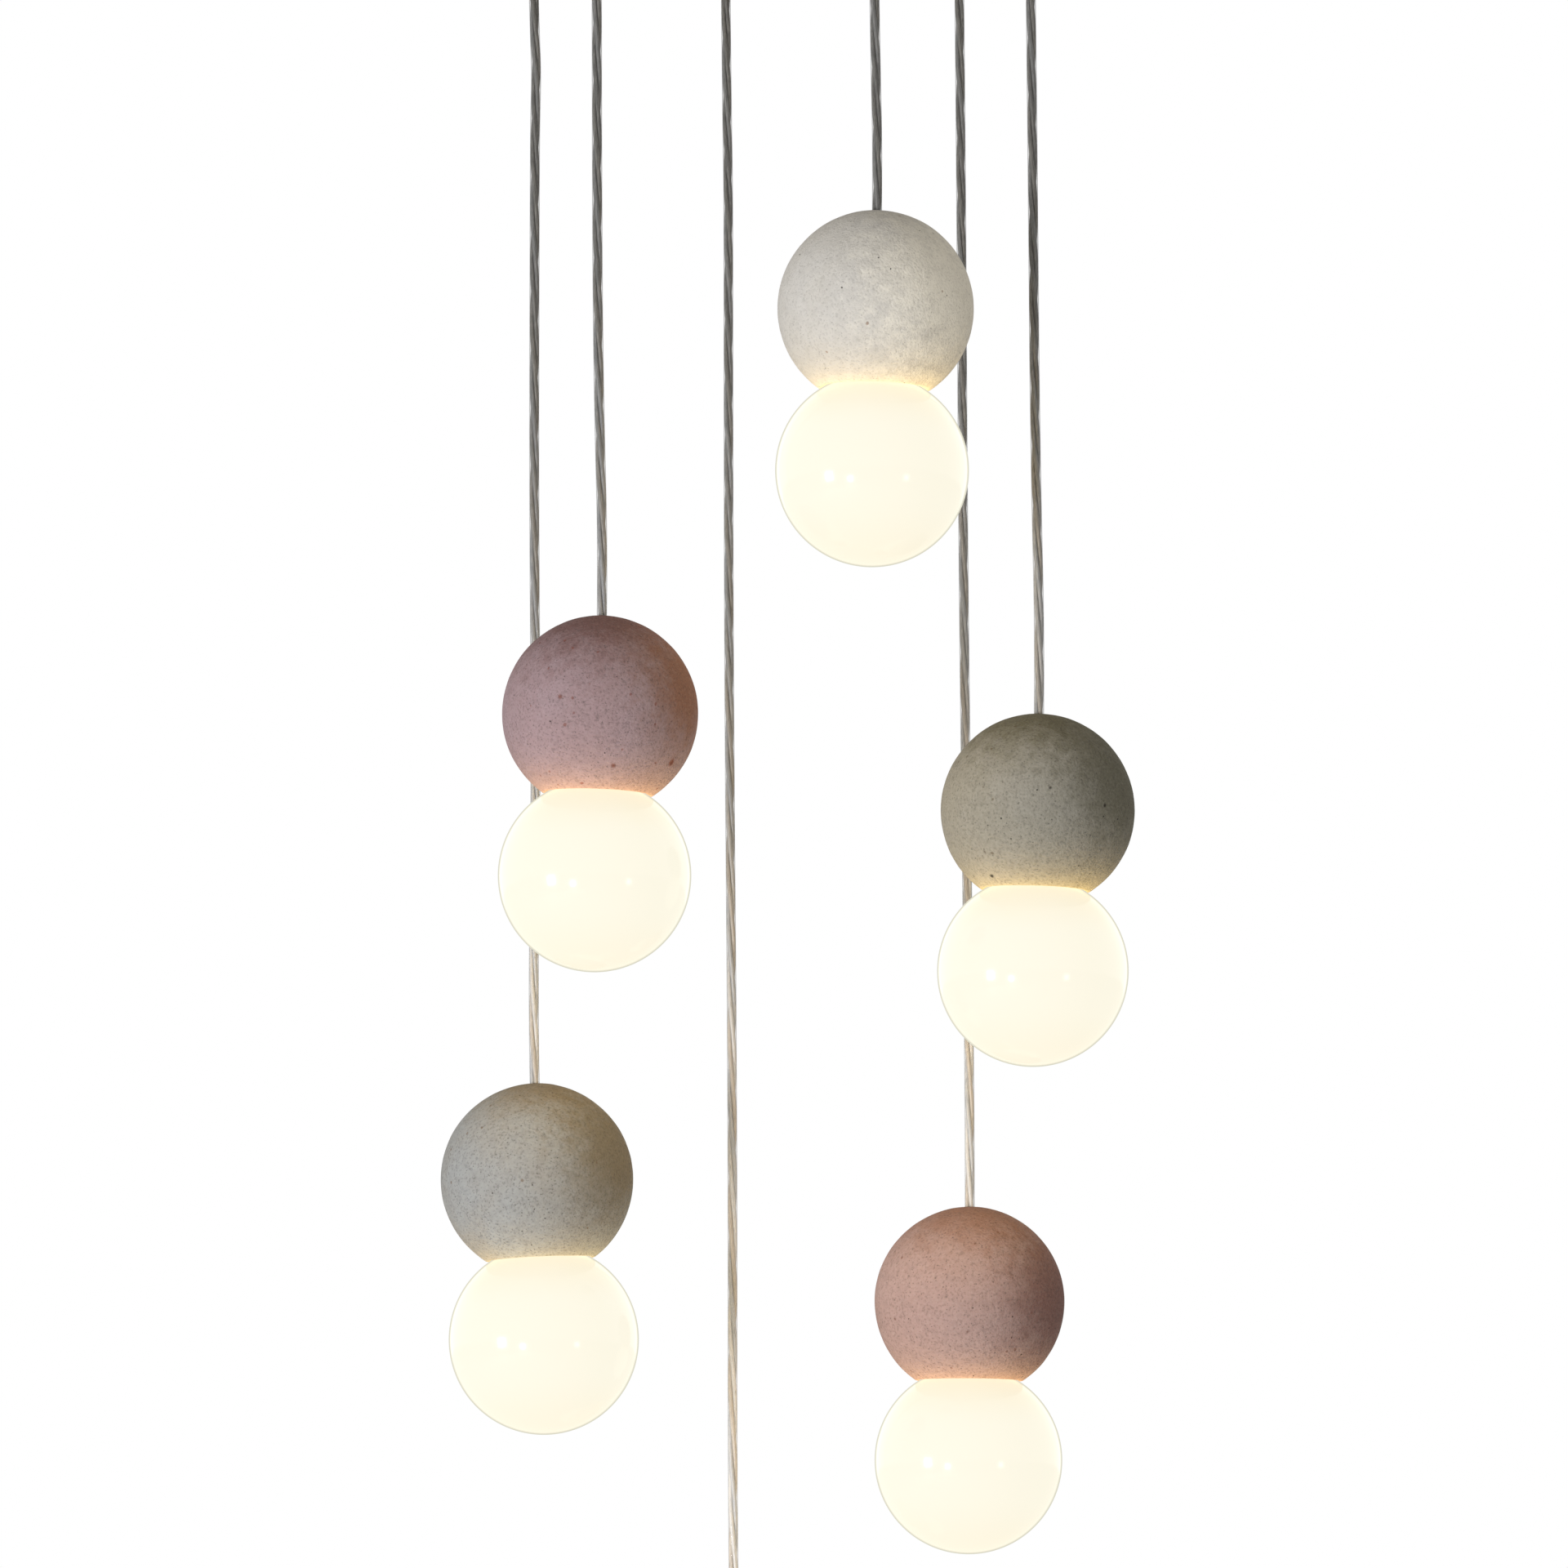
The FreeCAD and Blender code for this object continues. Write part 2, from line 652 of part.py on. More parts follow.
def globe(pendant):
    """The blown opal globe with the neck that goes up into the fitter."""
    inner, neck_inner = "(globe_radius - globe_wall)", "(neck_radius - globe_wall)"
    centre = ("0", GLOBE_CENTRE)
    glass = turned(
        f"{pendant}_globe",
        [
            ("0", f"{GLOBE_CENTRE} - globe_radius"),
            ("neck_radius", f"{GLOBE_CENTRE} + sqrt(globe_radius^2 - neck_radius^2)"),
            ("neck_radius", NECK_TOP),
            (neck_inner, NECK_TOP),
            (neck_inner, f"{GLOBE_CENTRE} + sqrt({inner}^2 - {neck_inner}^2)"),
            ("0", f"{GLOBE_CENTRE} - {inner}"),
        ],
        {0: ("globe_radius", centre, 1), 4: (inner, centre, -1)},
    )
    keep(hang(glass, pendant), f"{pendant}_globe")


def fitter(pendant):
    """The collar on the stem that the globe's neck screws up into."""
    inside, top = "(neck_radius + neck_gap)", f"({FITTER_CEILING} + fitter_top)"
    bottom = f"{GLOBE_CENTRE} + sqrt(globe_radius^2 - neck_radius^2) + globe_seat_gap"
    bore = "stem_radius + thread_gap"
    collar = turned(
        f"{pendant}_fitter",
        [
            (bore, FITTER_CEILING),
            (inside, FITTER_CEILING),
            (inside, bottom),
            (FITTER_RADIUS, bottom),
            (FITTER_RADIUS, f"{top} - fitter_chamfer"),
            (f"{FITTER_RADIUS} - fitter_chamfer", top),
            (bore, top),
        ],
    )
    keep(hang(collar, pendant), f"{pendant}_fitter")


def stem(pendant):
    """The threaded tube down the head's axis, and the insert and nuts that it is held by."""
    bottom, top = SOCKET_FLOOR, f"({ROOF} + insert_length - stem_end_gap)"
    tube = cut(f"{pendant}_stem",
               cylinder(f"{pendant}_stem_rod", "stem_radius", f"{top} - {bottom}", bottom),
               cylinder(f"{pendant}_stem_bore", "stem_bore_radius", f"{top} - {bottom}", bottom))
    keep(hang(tube, pendant), f"{pendant}_stem")

    bore = "stem_radius + thread_gap"
    insert = cut(f"{pendant}_insert",
                 cylinder(f"{pendant}_insert_sleeve", "insert_radius", "insert_length", ROOF),
                 cylinder(f"{pendant}_insert_bore", bore, "insert_length", ROOF))
    levels = {
        "lock": f"{ROOF} - stem_nut_height",
        "upper": f"{FITTER_CEILING} + fitter_top",
        "lower": f"{FITTER_CEILING} - stem_nut_height",
    }
    nuts = [hex_nut(f"{pendant}_{nut}_nut", "stem_nut_across", "stem_nut_height", bore, level)
            for nut, level in levels.items()]
    keep(hang(group(f"{pendant}_stem_nuts", [insert, *nuts]), pendant), f"{pendant}_stem_nuts")


def lampholder(pendant):
    """The ceramic two-pin holder on the stem's lower end."""
    boss_base = f"({HOLDER_TOP} - holder_boss_height)"
    socket = "stem_radius + thread_gap"
    body = turned(
        f"{pendant}_lampholder",
        [
            ("0", HOLDER_BASE),
            ("holder_radius - holder_chamfer", HOLDER_BASE),
            ("holder_radius", f"{HOLDER_BASE} + holder_chamfer"),
            ("holder_radius", boss_base),
            ("holder_boss_radius", boss_base),
            ("holder_boss_radius", HOLDER_TOP),
            (socket, HOLDER_TOP),
            (socket, SOCKET_FLOOR),
            ("0", SOCKET_FLOOR),
        ],
    )
    pins = [(f"{side}pin_spacing / 2", "0", "pin_radius + pin_hole_gap") for side in ("", "-")]
    drill(body, "pin_holes", "XY_Plane", pins, "pin_hole_depth", HOLDER_BASE)
    keep(hang(body, pendant), f"{pendant}_lampholder")


def lamp(pendant):
    """The small two-pin lamp: a base, a capsule with a round end, and its pins."""
    bottom = f"({HOLDER_BASE} - lamp_length)"
    base_bottom = f"({HOLDER_BASE} - lamp_base_height)"
    body = turned(
        f"{pendant}_lamp",
        [
            ("0", bottom),
            ("lamp_radius", f"{bottom} + lamp_radius"),
            ("lamp_radius", base_bottom),
            ("lamp_base_radius", base_bottom),
            ("lamp_base_radius", HOLDER_BASE),
            ("0", HOLDER_BASE),
        ],
        {0: ("lamp_radius", ("0", f"{bottom} + lamp_radius"), 1)},
    )
    sketch = new_sketch(body, f"{pendant}_pins_outline", "XY_Plane")
    for index, side in enumerate(("", "-")):
        across = f"{side}pin_spacing / 2"
        sketch.addGeometry(Part.Circle(Vector(measure(across), 0, 0), UP, measure("pin_radius")), False)
        hold(sketch, "DistanceX", -1, 1, index, 3, across)
        hold(sketch, "DistanceY", -1, 1, index, 3, "0")
        hold(sketch, "Radius", index, "pin_radius")
    bind(sketch, AttachmentOffset__Base__z=HOLDER_BASE)
    pins = body.newObject("PartDesign::Pad", f"{pendant}_pins")
    pins.Profile = sketch
    bind(pins, Length="pin_length")
    keep(hang(body, pendant), f"{pendant}_lamp")


def free_cord(pendant):
    """The cord from just inside its gland down to the ball, and on down the stem to the lampholder."""
    gland_across, gland_away = (measure(text) for text in on_cord_circle(pendant))
    pivot = Vector(gland_across, gland_away, measure("-canopy_height - swing_depth"))
    bends = [Vector(gland_across + right, gland_away + behind, height)
             for right, behind, height in CORD_BENDS[pendant]]
    head = head_placement(pendant)
    points = [
        pivot - UP * measure("cord_end_gap"),
        *bends,
        head.multVec(Vector(0, 0, measure("ball_radius + cord_bend_above_ball"))),
        head.multVec(Vector(0, 0, measure(SOCKET_FLOOR))),
    ]
    cord = doc.addObject("Part::Feature", f"{pendant}_cord")
    cord.Shape = cord_tube(f"{pendant} cord", points)
    keep(cord, f"{pendant}_cord")


ceiling_bracket()
bracket_studs()
canopy_pan()
cord_glands()
cord_tails()
junction_box()
earth_screw()
for pendant in PENDANTS:
    ball(pendant)
    globe(pendant)
    fitter(pendant)
    stem(pendant)
    lampholder(pendant)
    lamp(pendant)
    free_cord(pendant)
doc.recompute()

for item in doc.Objects:
    if "Invalid" in item.State or "Error" in item.State:
        raise RuntimeError(f"{item.Name} failed: {item.State}")
for piece in subparts:
    if piece.Shape.isNull() or not piece.Shape.isValid():
        raise RuntimeError(f"{piece.Label} has no valid shape")

os.makedirs("parts", exist_ok=True)
for piece in subparts:
    piece.Shape.exportStep(os.path.join("parts", f"{piece.Label}.step"))
print(f"{len(subparts)} sub-parts, {sum(len(piece.Shape.Solids) for piece in subparts)} solids")
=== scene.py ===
# %% [markdown]
# # A multi-pendant ceiling light
#
# Six cords come down from one round canopy. Each carries a cast cement ball over a glowing opal glass globe.
# The part's solids are loaded first and never moved. The pieces that a person looks at closely are made
# again here with smooth surfaces, and every solid that stays gets a finish of its own.

# %% Load the part
import json
import math

import bmesh
import bpy
from mathutils import Matrix, Vector, noise

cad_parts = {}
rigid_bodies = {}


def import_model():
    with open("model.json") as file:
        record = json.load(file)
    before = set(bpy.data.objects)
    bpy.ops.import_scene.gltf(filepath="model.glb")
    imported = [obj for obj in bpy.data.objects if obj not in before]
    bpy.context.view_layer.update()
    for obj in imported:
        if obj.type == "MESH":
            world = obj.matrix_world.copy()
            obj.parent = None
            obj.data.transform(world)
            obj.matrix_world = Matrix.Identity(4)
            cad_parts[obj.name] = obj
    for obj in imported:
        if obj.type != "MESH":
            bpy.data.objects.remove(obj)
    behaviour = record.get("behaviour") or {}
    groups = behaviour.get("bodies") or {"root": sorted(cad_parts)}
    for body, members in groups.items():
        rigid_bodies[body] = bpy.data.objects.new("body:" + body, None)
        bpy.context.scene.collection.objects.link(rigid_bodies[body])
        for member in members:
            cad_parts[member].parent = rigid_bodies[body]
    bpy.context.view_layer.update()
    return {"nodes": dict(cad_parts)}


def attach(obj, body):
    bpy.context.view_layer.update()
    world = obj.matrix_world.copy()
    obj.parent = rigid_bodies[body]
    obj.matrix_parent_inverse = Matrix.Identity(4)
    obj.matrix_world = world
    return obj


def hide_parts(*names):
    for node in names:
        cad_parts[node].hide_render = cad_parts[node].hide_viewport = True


for thing in list(bpy.data.objects):
    bpy.data.objects.remove(thing)
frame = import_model()

# %% [markdown]
# ## The places of the six pendants
#
# Each head is drawn about its ball's centre and then leaned a little, because a real cord never hangs a ball
# quite upright. The table repeats the part's own places, in metres and degrees.

# %% The table of pendants
CORD_CIRCLE = 0.160
BALL_RADIUS = 0.060
GLOBE_DROP = 0.0995
PENDANTS = {
    "ivory": {"angle": 290, "drop": 0.2974, "lean": -1.7},
    "mauve": {"angle": 224, "drop": 0.5405, "lean": -2.2},
    "sage": {"angle": 343.5, "drop": 0.5952, "lean": -2.2},
    "grey": {"angle": 171, "drop": 0.8170, "lean": 2.2},
    "rose": {"angle": 45.6, "drop": 0.8902, "lean": -0.9},
    "chalk": {"angle": 103.5, "drop": 1.1280, "lean": 1.1},
}


def cord_place(pendant):
    """Where a pendant's cord leaves the circle of glands, seen from above."""
    angle = math.radians(PENDANTS[pendant]["angle"])
    return Vector((CORD_CIRCLE * math.cos(angle), CORD_CIRCLE * math.sin(angle), 0))


def head_matrix(pendant):
    """The place and lean of a pendant's head."""
    centre = cord_place(pendant) - Vector((0, 0, PENDANTS[pendant]["drop"]))
    lean = math.radians(-PENDANTS[pendant]["lean"])
    return Matrix.Translation(centre) @ Matrix.Rotation(lean, 4, "Y")


for pendant in PENDANTS:
    print(pendant, "ball centre", [round(x, 4) for x in head_matrix(pendant).translation])

# %% [markdown]
# ## The camera
#
# The photograph was taken from far off with a long lens, a little below the lamp and looking up. A long lens
# keeps the near and the far balls almost the same size.

# %% Camera
SENSOR_WIDTH_MM = 36
FOCAL_LENGTH_PX, PHOTO_WIDTH_PX = 12332, 1920
CAMERA_PLACE = (-0.003, -6.230, -1.206)
LOOKS_UP_DEG = 5.8
ROLL_RAD = -0.0061

camera_data = bpy.data.cameras.new("camera")
camera_data.sensor_width = SENSOR_WIDTH_MM
camera_data.lens = SENSOR_WIDTH_MM * FOCAL_LENGTH_PX / PHOTO_WIDTH_PX
camera = bpy.data.objects.new("camera", camera_data)
camera.matrix_world = (
    Matrix.Translation(CAMERA_PLACE)
    @ Matrix.Rotation(math.radians(90 + LOOKS_UP_DEG), 4, "X")
    @ Matrix.Rotation(ROLL_RAD, 4, "Z")
)
bpy.context.scene.collection.objects.link(camera)
bpy.context.scene.camera = camera
bpy.context.scene.view_settings.view_transform = "Standard"
print("lens", round(camera_data.lens, 1), "mm")

# %% [markdown]
# ## Shader sums
#
# A material is a tree of nodes. Written as calls, even a short sum takes a page, so one small class wraps a
# node's output and overloads the signs. `1 - mask` then adds a Math node by itself.


# %% Values and node trees
class Value:
    """A node's output that can stand in a sum."""

    def __init__(self, nodes, socket):
        self.nodes = nodes
        self.socket = socket

    def __add__(self, other):
        return self.nodes.sum("ADD", self, other)

    def __sub__(self, other):
        return self.nodes.sum("SUBTRACT", self, other)

    def __rsub__(self, other):
        return self.nodes.sum("SUBTRACT", other, self)

    def __mul__(self, other):
        return self.nodes.sum("MULTIPLY", self, other)

    def __gt__(self, other):
        return self.nodes.sum("GREATER_THAN", self, other)

    def __lt__(self, other):
        return self.nodes.sum("LESS_THAN", self, other)

    __radd__ = __add__
    __rmul__ = __mul__


class Nodes:
    """A node tree, with one call that adds any kind of node."""

    def __init__(self, tree):
        self.tree = tree

    def add(self, kind, settings=None, links=None, output=0):
        node = self.tree.nodes.new(kind)
        for name, value in (settings or {}).items():
            if name == "stops":
                for stop, (position, grey) in zip(node.color_ramp.elements, value):
                    stop.position = position
                    stop.color = (grey, grey, grey, 1)
            else:
                setattr(node, name, value)
        for name, value in (links or {}).items():
            self.join(value, node.inputs[name])
        return Value(self, node.outputs[output])

    def join(self, value, socket):
        """Links a value to a socket, or sets the socket to a plain number or colour."""
        if isinstance(value, Value):
            self.tree.links.new(value.socket, socket)
        else:
            socket.default_value = value

    def sum(self, operation, *terms):
        return self.add("ShaderNodeMath", {"operation": operation}, dict(enumerate(terms)))

    def between(self, low, high, value):
        """A value of 0 below low and 1 above high, with a soft step between."""
        links = {"Value": value, "From Min": low, "From Max": high}
        return self.add("ShaderNodeMapRange", {"interpolation_type": "SMOOTHSTEP"}, links)

    def blend(self, share, first, second, how="MIX"):
        """Two colours mixed by a share."""
        settings = {"data_type": "RGBA", "blend_type": how}
        return self.add("ShaderNodeMix", settings, {0: share, 6: first, 7: second}, 2)

    def mix_shader(self, share, first, second):
        return self.add("ShaderNodeMixShader", None, {0: share, 1: first, 2: second})


print("the shader sums are ready")

# %% [markdown]
# ## The room
#
# A plain pale floor and soft light. The background is white only for rays from the camera and for what metal
# and glass show, so it adds nothing to the soft light on the part. The key lamp stands far to the left, two
# small ones fill the front, and all three show as small spots on the glass.

# %% World and floor
SOFT_LIGHT = {"Color": (1.0, 0.95, 0.87, 1), "Strength": 0.40}
WHITE_BACKGROUND = {"Color": (1, 1, 1, 1), "Strength": 1.0}
FLOOR_HEIGHT, FLOOR_REACH = -2.4, 40

world = bpy.data.worlds.new("studio")
world.use_nodes = True
bpy.context.scene.world = world
room = Nodes(world.node_tree)
seen = room.add("ShaderNodeLightPath", output="Is Camera Ray")
mirrored = room.add("ShaderNodeLightPath", output="Is Glossy Ray")
through = room.add("ShaderNodeLightPath", output="Is Transmission Ray")
shown = room.sum("MAXIMUM", room.sum("MAXIMUM", seen, mirrored), through)
soft = room.add("ShaderNodeBackground", None, SOFT_LIGHT)
white = room.add("ShaderNodeBackground", None, WHITE_BACKGROUND)
room.join(room.mix_shader(shown, soft, white), world.node_tree.nodes["World Output"].inputs["Surface"])

floor_shape = bmesh.new()
floor_place = Matrix.Translation((0, 0, FLOOR_HEIGHT))
bmesh.ops.create_grid(floor_shape, x_segments=1, y_segments=1, size=FLOOR_REACH, matrix=floor_place)
floor_mesh = bpy.data.meshes.new("floor")
floor_shape.to_mesh(floor_mesh)
floor = bpy.data.objects.new("floor", floor_mesh)
bpy.context.scene.collection.objects.link(floor)
print("floor at", FLOOR_HEIGHT)

# %% Lamps
LAMP_CIRCLE = 5
PART_MIDDLE = Vector((0, 0, -0.65))


def studio_lamp(name, azimuth, height, size, watts, colour=(1, 1, 1)):
    """A square lamp on a circle round the part, turned towards it. Azimuth 0 is at the camera."""
    lamp_data = bpy.data.lights.new(name, "AREA")
    lamp_data.size = size
    lamp_data.energy = watts
    lamp_data.color = colour
    lamp = bpy.data.objects.new(name, lamp_data)
    turn = math.radians(azimuth)
    lamp.location = (-LAMP_CIRCLE * math.sin(turn), -LAMP_CIRCLE * math.cos(turn), height)
    aim = PART_MIDDLE - lamp.location
    lamp.rotation_euler = aim.to_track_quat("-Z", "Y").to_euler()
    bpy.context.scene.collection.objects.link(lamp)


studio_lamp("key_lamp", 52, -1.3, 0.8, 100, (0.98, 0.98, 1.0))
studio_lamp("front_lamp", 26, -1.8, 0.4, 56, (1.0, 0.98, 0.97))
studio_lamp("right_lamp", -41, -1.6, 0.5, 16, (1.0, 0.90, 0.76))
print("three lamps stand round the part")

# %% [markdown]
# ## Finishes
#
# Each finish is one Principled shader whose patterns read Object coordinates. The pieces' objects all sit at
# the origin, so a pattern stays on its piece and no two balls look alike.


# %% The finish class
class Finish(Nodes):
    """A material with a Principled shader and patterns in metres."""

    def __init__(self, name):
        self.material = bpy.data.materials.new(name)
        self.material.use_nodes = True
        super().__init__(self.material.node_tree)
        self.shader = self.tree.nodes["Principled BSDF"]
        self.out = self.tree.nodes["Material Output"]
        self.place = self.add("ShaderNodeTexCoord", output="Object")

    def set(self, **values):
        """Sets or links sockets of the shader, with _ for a space in the name."""
        for name, value in values.items():
            self.join(value, self.shader.inputs[name.replace("_", " ")])
        return self

    def noise(self, size, detail=2.0, roughness=0.5, place=None, output=0):
        """Cloudy noise whose features are about this size."""
        links = {"Vector": place or self.place, "Scale": 1 / size, "Detail": detail, "Roughness": roughness}
        return self.add("ShaderNodeTexNoise", None, links, output)

    def stretched(self, across, along):
        """Coordinates in which a pattern is drawn out along the cords."""
        links = {"Vector": self.place, "Scale": (1 / across, 1 / across, 1 / along)}
        return self.add("ShaderNodeMapping", None, links)

    def dots(self, size, share, reach, place=None):
        """Round dots, one in some of the cells of this size: 1 at a dot's middle, and 0 away from it."""
        links = {"Vector": place or self.place, "Scale": 1 / size}
        distance = self.add("ShaderNodeTexVoronoi", None, links, "Distance")
        colour = self.add("ShaderNodeTexVoronoi", None, links, "Color")
        chance = self.add("ShaderNodeSeparateColor", None, {"Color": colour})
        core = 0.55 * reach
        return (1 - self.between(core, reach, distance)) * (chance < share)

    def bump(self, height, depth, under=None):
        """A bump of this depth in metres, over another bump if one is given."""
        links = {"Height": height, "Distance": depth, "Strength": 1.0}
        if under:
            links["Normal"] = under
        return self.add("ShaderNodeBump", None, links)


def srgb(red, green, blue):
    """A colour given 0 to 255, as Blender's linear numbers."""
    shares = [channel / 255 for channel in (red, green, blue)]
    linear = [share / 12.92 if share < 0.04045 else ((share + 0.055) / 1.055) ** 2.4 for share in shares]
    return (*linear, 1)


print("warm white is", [round(c, 3) for c in srgb(255, 252, 236)])

# %% [markdown]
# ### Cement
#
# The balls are cast from cement with fine sand and stone dust in it. The colour clouds slowly over the ball,
# dark and light grains speckle it, and small air pores open at the skin. Clouds are large noise, grains are
# small noise pushed towards its ends, and pores are dots in Voronoi cells that also dent the surface. Large
# patches on the top and right of the mauve, sage, grey and rose balls are painted shade, one on the ivory
# ball's right is painted light, and small ones are rust and dark specks.

# %% Cement finish
SHADE = (0.05, 0.045, 0.04, 1)
SAND = (0.90, 0.88, 0.84, 1)
GRIT = (0.06, 0.052, 0.048, 1)
SPECK = (0.05, 0.044, 0.04, 1)
PORE = (0.03, 0.026, 0.022, 1)


def cement(pendant, tone, cloud, fleck, cloudiness=0.4, fleck_share=0.05, stains_and_painted_shading=(), speckle=1.0):
    """Speckled cast cement: its main colour, the colour of its clouds and the colour of its coarse flecks.

    Each patch has its place from the ball's centre, how far it reaches, its colour and its share. The small
    patches are rust and dark specks; the large ones are painted shade, and on the ivory ball painted light.
    """
    finish = Finish(f"cement_{pendant}")
    wander = finish.noise(0.004, 2, output="Color")
    bent = finish.add("ShaderNodeVectorMath", {"operation": "SCALE"}, {0: wander, "Scale": 0.0016})
    uneven = finish.add("ShaderNodeVectorMath", {"operation": "ADD"}, {0: finish.place, 1: bent})

    clouds = finish.between(0.38, 0.66, finish.noise(0.045, 3, 0.6))
    mottle = finish.noise(0.010, 4, 0.7)
    lumps = finish.noise(0.0045, 3, 0.6)
    grain = finish.noise(0.0016, 1, 0.6)
    flecks = finish.dots(0.0050, fleck_share, 0.26, uneven)
    specks = finish.dots(0.0023, 0.48, 0.26, uneven)
    pores = finish.dots(0.0080, 0.34, 0.075, uneven)

    colour = finish.blend(clouds * cloudiness, tone, cloud)
    # Patches over the colour: small ones are rust and dark specks; large ones are painted shade, and on the
    # ivory ball painted light.
    for place, reach, stain_and_shading_colour, share in stains_and_painted_shading:
        spot = head_matrix(pendant) @ Vector(place)
        links = {0: finish.place, 1: tuple(spot)}
        away = finish.add("ShaderNodeVectorMath", {"operation": "DISTANCE"}, links, "Value")
        ragged = away + reach * 0.9 * (mottle - 0.5)
        colour = finish.blend((1 - finish.between(reach * 0.2, reach, ragged)) * share, colour, stain_and_shading_colour)
    colour = finish.blend(finish.between(0.44, 0.66, mottle) * 0.05, colour, SHADE)
    colour = finish.blend(finish.between(0.46, 0.62, lumps) * 0.09 * speckle, colour, SHADE)
    colour = finish.blend(finish.between(0.54, 0.68, grain) * 0.04 * speckle, colour, SAND)
    colour = finish.blend(finish.between(0.44, 0.34, grain) * 0.26 * speckle, colour, GRIT)
    colour = finish.blend(specks * 0.46 * speckle, colour, SPECK)
    colour = finish.blend(flecks * 0.60, colour, fleck)
    colour = finish.blend(pores * 0.80, colour, PORE)

    skin = finish.bump(grain, 0.00040)
    skin = finish.bump(lumps, 0.0003, skin)
    skin = finish.bump(1 - pores, 0.0009, skin)
    finish.set(Base_Color=colour, Roughness=0.90 + 0.08 * grain, Normal=skin, Specular_IOR_Level=0.25)
    return finish.material


def skin_point(right, up):
    """A place on the front of a ball, from shares of its radius to the right and up as the camera sees it."""
    return (BALL_RADIUS * right, -BALL_RADIUS * math.sqrt(1 - right**2 - up**2), BALL_RADIUS * up)


RUST, BLACK = srgb(116, 62, 44), (0.02, 0.016, 0.012, 1)
# In each ball's list of patches, the large ones on the top and right are painted shade, the light one on the
# ivory ball's right is painted light, and the small ones are rust and black specks.
CEMENTS = {
    "ivory": cement("ivory", srgb(206, 204, 200), srgb(201, 197, 188), srgb(140, 104, 74), 0.4, 0.025, [
        # painted light on the right side of the ball
        (skin_point(0.85, 0.15), 0.085, srgb(246, 242, 230), 0.92),
    ], 0.5),
    "mauve": cement("mauve", srgb(164, 142, 147), srgb(156, 130, 130), srgb(120, 62, 46), 0.35, 0.08, [
        # painted shade on the top and on the right side, then small rust spots
        (skin_point(0.0, 0.98), 0.080, srgb(112, 78, 72), 0.85),
        (skin_point(0.90, 0.25), 0.055, srgb(136, 98, 80), 0.90),
        (skin_point(0.75, -0.52), 0.0034, RUST, 0.85),
        (skin_point(0.17, -0.61), 0.0026, RUST, 0.80),
        (skin_point(-0.39, 0.06), 0.0024, RUST, 0.80),
    ]),
    "sage": cement("sage", srgb(152, 150, 142), srgb(142, 139, 126), srgb(86, 74, 54), 0.35, 0.05, [
        # painted shade on the top and on the right side, then small black specks
        (skin_point(-0.10, 0.98), 0.072, srgb(92, 88, 66), 0.85),
        (skin_point(0.85, 0.30), 0.068, srgb(96, 94, 78), 0.75),
        (skin_point(-0.46, -0.74), 0.0022, BLACK, 0.95),
        (skin_point(0.67, 0.0), 0.0017, BLACK, 0.9),
        (skin_point(0.10, 0.14), 0.0016, BLACK, 0.8),
    ]),
    "grey": cement("grey", srgb(162, 164, 164), srgb(160, 154, 144), srgb(108, 84, 62), 0.45, 0.05, [
        # painted shade on the right side and on the top
        (skin_point(0.85, 0.24), 0.067, srgb(118, 106, 84), 0.80),
        (skin_point(0.10, 0.98), 0.060, srgb(128, 114, 90), 0.75),
    ]),
    "rose": cement("rose", srgb(176, 150, 146), srgb(166, 138, 132), srgb(110, 72, 58), 0.35, 0.06, [
        # painted shade on the right side and on the top
        (skin_point(0.90, 0.05), 0.066, srgb(118, 84, 78), 0.80),
        (skin_point(0.05, 0.98), 0.070, srgb(140, 102, 84), 0.75),
    ]),
    "chalk": cement("chalk", srgb(208, 205, 198), srgb(190, 186, 176), srgb(140, 112, 84), 0.4, 0.03),
}
print(len(CEMENTS), "cements")

# %% [markdown]
# ### Opal glass
#
# The globes are blown opal glass with a lamp inside. The milky wall spreads the light, so the glass glows
# evenly. Near the top, where the ball covers the neck, it is a little warmer. The outermost sliver is clear
# glass seen edge on: it shows as a thin grey-green line, which a Layer Weight node finds.

# %% Opal finish
OPAL_GLOW = 0.92


def opal():
    finish = Finish("opal_glass")
    height = finish.add("ShaderNodeAttribute", {"attribute_name": "height"}, output="Fac")
    shade = finish.noise(0.05, 2)
    near_ball = finish.between(0.30, 0.95, height + 0.15 * (shade - 0.5))
    below = finish.between(-0.35, -0.98, height)
    glow = finish.blend(below * 0.7, srgb(255, 250, 231), srgb(255, 246, 222))
    glow = finish.blend(near_ball, glow, srgb(255, 243, 214))
    finish.set(Base_Color=(0.09, 0.09, 0.085, 1), Roughness=0.13, IOR=1.45, Specular_IOR_Level=0.2)
    finish.set(Emission_Color=glow, Emission_Strength=OPAL_GLOW)
    edge = finish.add("ShaderNodeBsdfPrincipled", None, {
        "Base Color": (0.05, 0.05, 0.045, 1), "Roughness": 0.5, "Specular IOR Level": 0.0,
        "Emission Color": srgb(216, 214, 196), "Emission Strength": 1.0,
    })
    facing = finish.add("ShaderNodeLayerWeight", None, {"Blend": 0.5}, "Facing")
    body = Value(finish, finish.shader.outputs[0])
    sliver = finish.between(0.76, 0.88, facing)
    finish.join(finish.mix_shader(sliver, body, edge), finish.out.inputs["Surface"])
    return finish.material


OPAL = opal()
print("opal glass glows at", OPAL_GLOW)

# %% [markdown]
# ### Cords
#
# The flex is a clear jacket over three twisted cores with silver strands. High up it hangs in shade, which is
# painted into its colour as a darker grey; lower down, among the globes, their light is painted in as a
# lighter, warm silver.

# %% Cord finishes
# Heights over which the painted shade up high gives way to the painted light among the globes.
AMONG_THE_GLOBES, UP_HIGH = -0.95, -0.18
BRIGHT_STRAND, DARK_STRAND = (0.80, 0.76, 0.70, 1), (0.05, 0.045, 0.04, 1)
JACKET_BELOW, JACKET_ABOVE = (0.50, 0.50, 0.49, 1), (0.20, 0.20, 0.20, 1)


